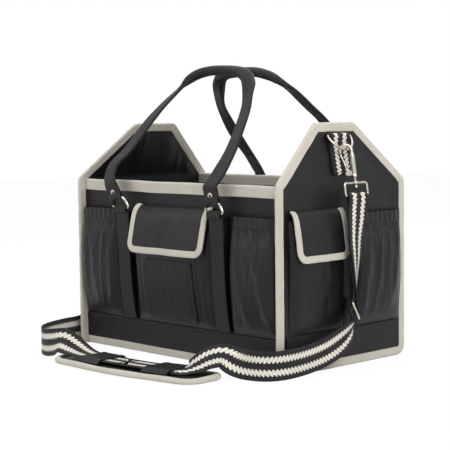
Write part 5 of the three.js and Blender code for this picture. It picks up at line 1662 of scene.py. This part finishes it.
def handleFoot(patch, row):  # web folded round the arch of the ring, its cut end behind
    fold = smallRing["wire"] + 0.25 + footRow["ply"] / 2
    x = np.linspace(-12.1, 12.1, 25)
    arch = np.sqrt(smallRing["radius"] ** 2 - (x * 0.985) ** 2)
    h, ply = footRow["ply"] / 2, footRow["ply"] / 2 + footRow["gap"] / 2
    rings = []

    def station(middle, out):  # middle and out give (v, w) for every column
        a = [(x[j], middle[j][0] + out[j][0] * h, middle[j][1] + out[j][1] * h) for j in range(len(x))]
        b = [(x[j], middle[j][0] - out[j][0] * h, middle[j][1] - out[j][1] * h) for j in range(len(x))]
        rings.append([*a, *b[::-1]])

    top = footRow["rise"] + 4
    for q in np.linspace(0, 1, 9)[:-1]:
        base = arch + fold * 1.2
        v = top + (base - top) * q
        bulge = ply + (fold - ply) * smoothStep(9, 0, v - base)
        station([(v[j], bulge[j]) for j in range(len(x))], [(0, 1)] * len(x))
    for a in np.linspace(0.1, math.pi - 0.1, 11):
        station([(arch[j] - fold * math.sin(a) + fold * 0.15, fold * math.cos(a)) for j in range(len(x))],
                [(-math.sin(a), math.cos(a))] * len(x))
    for q in np.linspace(0, 1, 9)[1:]:
        base = arch + fold * 1.2
        v = base + (footRow["rise"] + 2.5 - base) * q
        bulge = ply + (fold - ply) * smoothStep(9, 0, v - base)
        station([(v[j], -bulge[j]) for j in range(len(x))], [(0, -1)] * len(x))
    patch.grid(placeIn(row, np.array(rings)), closeCols=True, caps=(True, True))


# shares of length, width and handle rise, how far the web is rolled into a grip, plan turn of the web
handleRows = {
    "front": [
        (-0.285, -0.536, 0.2196, 0, 168), (-0.286, -0.5, 0.3061, 0, 168), (-0.258, -0.432, 0.4112, 0, 168),
        (-0.222, -0.34, 0.5904, 0, 166), (-0.195, -0.26, 0.7189, 0, 157), (-0.163, -0.19, 0.8252, 0.15, 146),
        (-0.138, -0.145, 0.8993, 0.7, 128), (-0.1, -0.118, 0.9426, 1, 112), (-0.05, -0.106, 0.9599, 1, 98),
        (0, -0.104, 0.9611, 1, 84), (0.05, -0.104, 0.9574, 1, 64), (0.1, -0.112, 0.9426, 1, 38),
        (0.137, -0.126, 0.9092, 1, 10), (0.166, -0.155, 0.8499, 0.6, -12), (0.19, -0.2, 0.7757, 0, -22),
        (0.214, -0.262, 0.667, 0, -22), (0.233, -0.34, 0.5409, 0, -19), (0.243, -0.42, 0.3988, 0, -12),
        (0.238, -0.5, 0.2567, 0, -3),
    ],
    "rear": [
        (-0.256, -0.49, 0.2814, 0, 176), (-0.257, -0.42, 0.405, 0, 170), (-0.236, -0.325, 0.5842, 0, 162),
        (-0.203, -0.25, 0.7016, 0, 161), (-0.162, -0.19, 0.8128, 0.1, 156), (-0.12, -0.14, 0.8919, 0.7, 132),
        (-0.075, -0.116, 0.9327, 1, 112), (-0.02, -0.108, 0.9525, 1, 96), (0.05, -0.11, 0.9512, 1, 78),
        (0.115, -0.118, 0.9438, 1, 48), (0.158, -0.136, 0.9191, 1, 14), (0.197, -0.176, 0.8375, 0.5, -12),
        (0.222, -0.228, 0.7263, 0, -20), (0.226, -0.296, 0.5965, 0, -8), (0.219, -0.352, 0.4841, 0, -5),
        (0.204, -0.43, 0.3432, 0, -13), (0.202, -0.49, 0.2443, 0, -12),
    ],
}
handle = {"rise": 195, "web": 24.6, "webThick": 3.8, "grip": 18.5, "gripThick": 13.6}


def handleSection(g, count=56):  # flat doubled web when g is 0, rolled grip when it is 1
    wide = (1 - g) * handle["web"] + g * handle["grip"]
    thick = (1 - g) * handle["webThick"] + g * handle["gripThick"]
    power = 2 / (7 * (1 - g) + 2.3 * g)
    a = np.linspace(0, math.tau, count, endpoint=False)
    x = np.sign(np.cos(a)) * np.abs(np.cos(a)) ** power * wide / 2
    y = np.sign(np.sin(a)) * np.abs(np.sin(a)) ** power * thick / 2
    pinch = 1 - 0.22 * g * np.exp(-(((a - 1.5 * math.pi + math.pi) % math.tau - math.pi) / 0.13) ** 2)
    split = 1 - 0.035 * (1 - g) * np.exp(-(y / 0.45) ** 2)
    return np.stack([x * split, y * pinch], -1)


def makeHandle(wall):
    frames = [footFrame(wall, end) for end in ("left", "right")]
    turn = halfTurn(wall == "rear")
    rows = handleRows[wall]
    middle = [turn @ np.array([x * bag["length"], y * bag["width"], tab["bar"] + up * handle["rise"]])
              for x, y, up, _, _ in rows]
    first, last = ([placeIn(f["web"], (0, v, 0)) for v in (footRow["rise"] - 0.5, footRow["rise"] + 4.5)]
                   for f in frames)
    points = [*first, *middle, *last[::-1]]
    grip = [0, 0, *[row[3] for row in rows], 0, 0]
    level = [turn @ (math.cos(math.radians(row[4])), math.sin(math.radians(row[4])), 0) for row in rows]
    level = [-frames[0]["web"][0]] * 2 + level + [frames[1]["web"][0]] * 2
    both = curveThrough(np.hstack([points, level, np.array(grip)[:, None]]), 7)
    both = resample(both, 2.2)
    path, across, g = both[:, :3], both[:, 3:6], smoothStep(0, 1, both[:, 6])
    across, out = squareTo(path, across)
    if out[len(out) // 2][2] < 0:
        out = -out
    wob = bumpField(210 if wall == "front" else 230, 5, 18, 70)
    run = lengthsAlong(path)
    sections = np.array([handleSection(k) for k in g]) * (1 + 0.012 * wob(run, 0 * run))[:, None, None]
    strapWeb = Patchwork()
    strapWeb.sweep(path, across, out, sections)
    for f in frames:
        handleFoot(strapWeb, f["web"])
    body = wall + "_handle"
    strapWeb.make(wall + "Handle", body, "black_webbing", "handle", body, angle=60)
    sewn = Patchwork()
    for side in (-1, 1):  # rows along the legs, and the closing seam under the grip
        for face in (-1, 1):
            keep = g < 0.12
            half = handle["web"] / 2 - 3.0
            line = path + across * side * half + out * face * (handle["webThick"] / 2 - 0.08)
            for part in (slice(0, len(g) // 2), slice(len(g) // 2, len(g))):
                chosen = keep[part]
                sewn.stitches(line[part][chosen], (out * face)[part][chosen], *seams["loop"])
    keep = g > 0.7
    line = path - out * (handle["gripThick"] / 2 * 0.86)
    sewn.stitches(line[keep], -out[keep], *seams["grip"])
    sewn.make(wall + "HandleStitches", body, "black_webbing", "blackThread")


for wall in ("front", "rear"):
    for end in ("left", "right"):
        worldEnd = end if wall == "front" else {"left": "right", "right": "left"}[end]  # rear is turned round
        name = wall + worldEnd.capitalize()
        frames = footFrame(wall, end)
        makeRingTab(wall, end, name)
        makeRing(name + "Ring", wall + "_handle", nodeOf(name) + "_ring", frames["ring"],
                 smallRing["radius"], smallRing["fillet"], smallRing["wire"])
        makeRivet(name, frames["web"], wall + "_handle")
    makeHandle(wall)
print("tabs, rings, rivets and handles made")

# Shoulder pad: a stuffed pad, its pale binding and the two loops that hold the strap.

pad = {"length": 264, "width": 68, "corner": 24, "binding": 8, "bindingTall": 7.4, "low": 1.3, "rise": 9.9,
       "start": 4.6, "inset": 4.0, "halfLift": 2.6, "middle": 20,
       "line": [(-0.5, -0.857), (-0.2, -0.868), (0.05, -0.862), (0.25, -0.828), (0.5, -0.785)],
       "voxel": 3.5, "reach": 3.2, "loops": (-0.2, 0.25), "loopWide": 40, "loopThick": 1.2,
       "loopRows": [(-25.5, 8.6), (-24.2, 9.7), (-22.6, 10.6), (-21, 12.3), (-19, 13.5), (-12, 13.9),
                    (0, 14.0)]}  # across the pad and up, to the middle of a loop


def padPlace(p):  # flat pad coordinates (u along, v across, z) to its place on the floor
    xs, ys = zip(*pad["line"])
    y = easeTable(xs, ys, p[:, 0] / pad["length"]) * bag["width"]
    return xyz(pad["middle"] + p[:, 0], y + p[:, 1], p[:, 2])


def padOutline(depth, spacing=3.0):
    half, wide = pad["length"] / 2 - depth, pad["width"] / 2 - depth
    corners = [(-half, -wide), (half, -wide), (half, wide), (-half, wide)]
    outline = roundedOutline(corners, [pad["corner"] - depth] * 4, 12)
    return resample(outline, spacing, closed=True)


def outlineDistance(p, depth):  # how far points lie inside the pad's outline
    half, wide = pad["length"] / 2 - depth, pad["width"] / 2 - depth
    r = pad["corner"] - depth
    q = np.abs(p[:, :2]) - (half - r, wide - r)
    past = np.hypot(np.maximum(q[:, 0], 0), np.maximum(q[:, 1], 0))
    return r - past - np.minimum(np.maximum(q[:, 0], q[:, 1]), 0)


def stuffedShape():  # flat start shape that the simulation swells
    outline = padOutline(pad["inset"])
    middle = pad["low"] + pad["halfLift"]
    rings = []
    for share, tall in ((0, 0), (0.35, 1), (0.7, 1), (1, 0.55), (1, -0.55), (0.7, -1), (0.35, -1), (0, 0)):
        z = np.full((len(outline), 1), middle + tall * pad["start"] / 2)
        rings.append(np.hstack([outline * max(share, 0.01), z]))
    mesh = bpy.data.meshes.new("padStart")
    grid = Patchwork()
    grid.grid(np.array(rings), closeCols=True, caps=(True, True))
    mesh.from_pydata((np.vstack(grid.points) * mm).tolist(), [], grid.faces)
    piece = bpy.data.objects.new("padCushion", mesh)
    bpy.context.scene.collection.objects.link(piece)
    return piece


def applyAll(piece):
    view = bpy.context.evaluated_depsgraph_get()
    mesh = bpy.data.meshes.new_from_object(piece.evaluated_get(view))
    piece.modifiers.clear()
    piece.data = mesh


def evenPoints(piece):  # remeshed evenly, its points in metres
    remesh = piece.modifiers.new("voxels", "REMESH")
    remesh.mode, remesh.voxel_size = "VOXEL", pad["voxel"] * mm
    applyAll(piece)
    return np.array([v.co for v in piece.data.vertices])


def swell(piece):  # cloth under pressure, held along its sewn edge
    start = evenPoints(piece)
    inside = outlineDistance(start / mm, pad["inset"])
    held = piece.vertex_groups.new(name="sewn")
    for index, depth in enumerate(inside):
        held.add([index], float(np.clip(1 - (depth - 2.5) / 4, 0, 1)), "REPLACE")
    cloth = piece.modifiers.new("cloth", "CLOTH")
    settings = cloth.settings
    settings.quality = 5
    settings.mass = 0.25
    settings.tension_stiffness = settings.compression_stiffness = 18
    settings.bending_stiffness = 0.4
    settings.use_pressure = True
    settings.uniform_pressure_force = 4
    settings.vertex_group_mass = "sewn"
    settings.effector_weights.gravity = 0
    cloth.collision_settings.use_collision = False
    scene = bpy.context.scene
    for step in range(1, 21):
        scene.frame_set(step)
    applyAll(piece)
    scene.frame_set(1)
    moved = np.array([v.co for v in piece.data.vertices]) - start
    far = np.linalg.norm(moved, axis=1, keepdims=True)
    return start + moved * np.minimum(1, pad["reach"] * mm / np.maximum(far, 1e-9))


def makePad():
    piece = stuffedShape()
    p = swell(piece) / mm
    inside = np.clip(outlineDistance(p, pad["inset"]), 0, None)
    middle = pad["low"] + pad["halfLift"]
    crown = smoothStep(0, 26, inside)
    dimple = bumpField(301, 6, 25, 80)
    up = p[:, 2] > middle
    full = pad["rise"] - 0.35 + 0.3 * dimple(p[:, 0], p[:, 1])
    top = np.minimum(p[:, 2] + crown * 2.0, full)
    p[:, 2] = np.where(up, top, np.maximum(p[:, 2] - 0.6 * crown, pad["low"]))
    p = padPlace(p)
    piece.data.vertices.foreach_set("co", (p * mm).ravel())
    finer = piece.modifiers.new("finer", "SUBSURF")
    finer.levels = finer.render_levels = 1
    applyAll(piece)
    piece.data.shade_smooth()
    piece.data.materials.clear()
    piece.data.materials.append(look["padPlain"])
    piece.name = "shoulderPad"
    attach(piece, "bag")
    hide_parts("shoulder_pad")
    return piece


def makePadBinding():
    outline = padOutline(pad["binding"] / 2, 2.2)
    path = np.hstack([outline, np.full((len(outline), 1), pad["bindingTall"] / 2 + 0.25)])
    t = tangents(path, closed=True)
    out = facing(path, (0.0, 0, 1))
    across = awayFrom(0, path, t, out)
    wave = bumpField(311, 5, 30, 110)
    binding = Patchwork(padPlace)
    section = tapeSection(pad["binding"], pad["bindingTall"])
    run = lengthsAlong(path)
    tall = 1 + 0.07 * wave(run, 0 * run)
    sections = section[None] * np.stack([np.ones_like(tall), tall], -1)[:, None]
    lift = pad["bindingTall"] / 2 * (tall - 1)
    binding.sweep(path + out * lift[:, None], across, out, sections, closed=True)
    binding.make("padBinding", "bag", "light_tape", "tape", "pad_binding")
    sewn = Patchwork(padPlace)
    line = path - across * (pad["binding"] / 2 - 1.8) + out * (pad["bindingTall"] / 2 - 0.25)
    line, faces = np.concatenate([line, line[:1]]), np.concatenate([out, out[:1]])
    sewn.stitches(line + faces * np.append(lift, lift[0])[:, None] * 2, faces, *seams["padTape"])
    sewn.make("padBindingStitches", "bag", "light_tape", "thread")


def makePadLoops():
    rows = [*pad["loopRows"], *[(-v, z) for v, z in pad["loopRows"][-2::-1]]]
    line = resample(curveThrough(rows, 5), 1.6)
    for k, share in enumerate(pad["loops"]):
        u = share * pad["length"]
        wave = bumpField(320 + k, 4, 14, 50)
        path = xyz(u, line[:, 0], line[:, 1])
        run = lengthsAlong(path)
        path[:, 2] += 0.25 * wave(run, 0 * run) * smoothStep(0, 6, run) * smoothStep(0, 6, run[-1] - run)
        across, out = squareTo(path, facing(path, (1.0, 0.02, 0)))
        w, t = pad["loopWide"] / 2, pad["loopThick"] / 2
        side = [(w, t * 0.9), (w, -t * 0.9)]
        top = [(x, t + 0.35 * smoothStep(w - 5.2, w - 4.4, abs(x)))
               for x in np.linspace(-w + 0.5, w - 0.5, 33)]
        low = [(x, -t) for x in np.linspace(w - 0.5, -w + 0.5, 12)]
        section = np.array([*top, *side, *low, (-w, -t * 0.9), (-w, t * 0.9)])
        loop = Patchwork(padPlace)
        loop.sweep(path, across, out, section)
        loop.make(f"padLoop{k + 1}", "bag", "pad_cloth", "padCloth")
        sewn = Patchwork(padPlace)
        for edge in (-w + 3.6, w - 3.6):
            sewn.stitches(path + across * edge + out * (t + 0.05), out, *seams["loop"])
        sewn.make(f"padLoop{k + 1}Stitches", "bag", "pad_cloth", "blackThread")


makePad()
makePadBinding()
makePadLoops()
print("shoulder pad made")

# Strap pieces: their placement baked into their meshes.

def mmPoint(p):
    return tuple(float(v) * mm for v in p)


mmPoint((222, -140, 24))
mmPoint(rightRoute[0])
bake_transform(strapRight)
mmPoint((-218, -130, 24))
mmPoint(leftRoute[-1])
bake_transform(strapLeft)
mmPoint((222.4, -4, 156))
mmPoint((220.8, 2, 219))
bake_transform(rightEnd)
mmPoint((-222.6, -5, 160))
mmPoint((-222.6, -2, 221))
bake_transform(leftEnd)

for piece, route, exit in ((strapRight, rightRoute, rightRoute[0]),
                           (strapLeft, leftRoute[::-1], leftRoute[-1])):
    mmPoint(exit)
    lengthsAlong(route)[-1] * mm
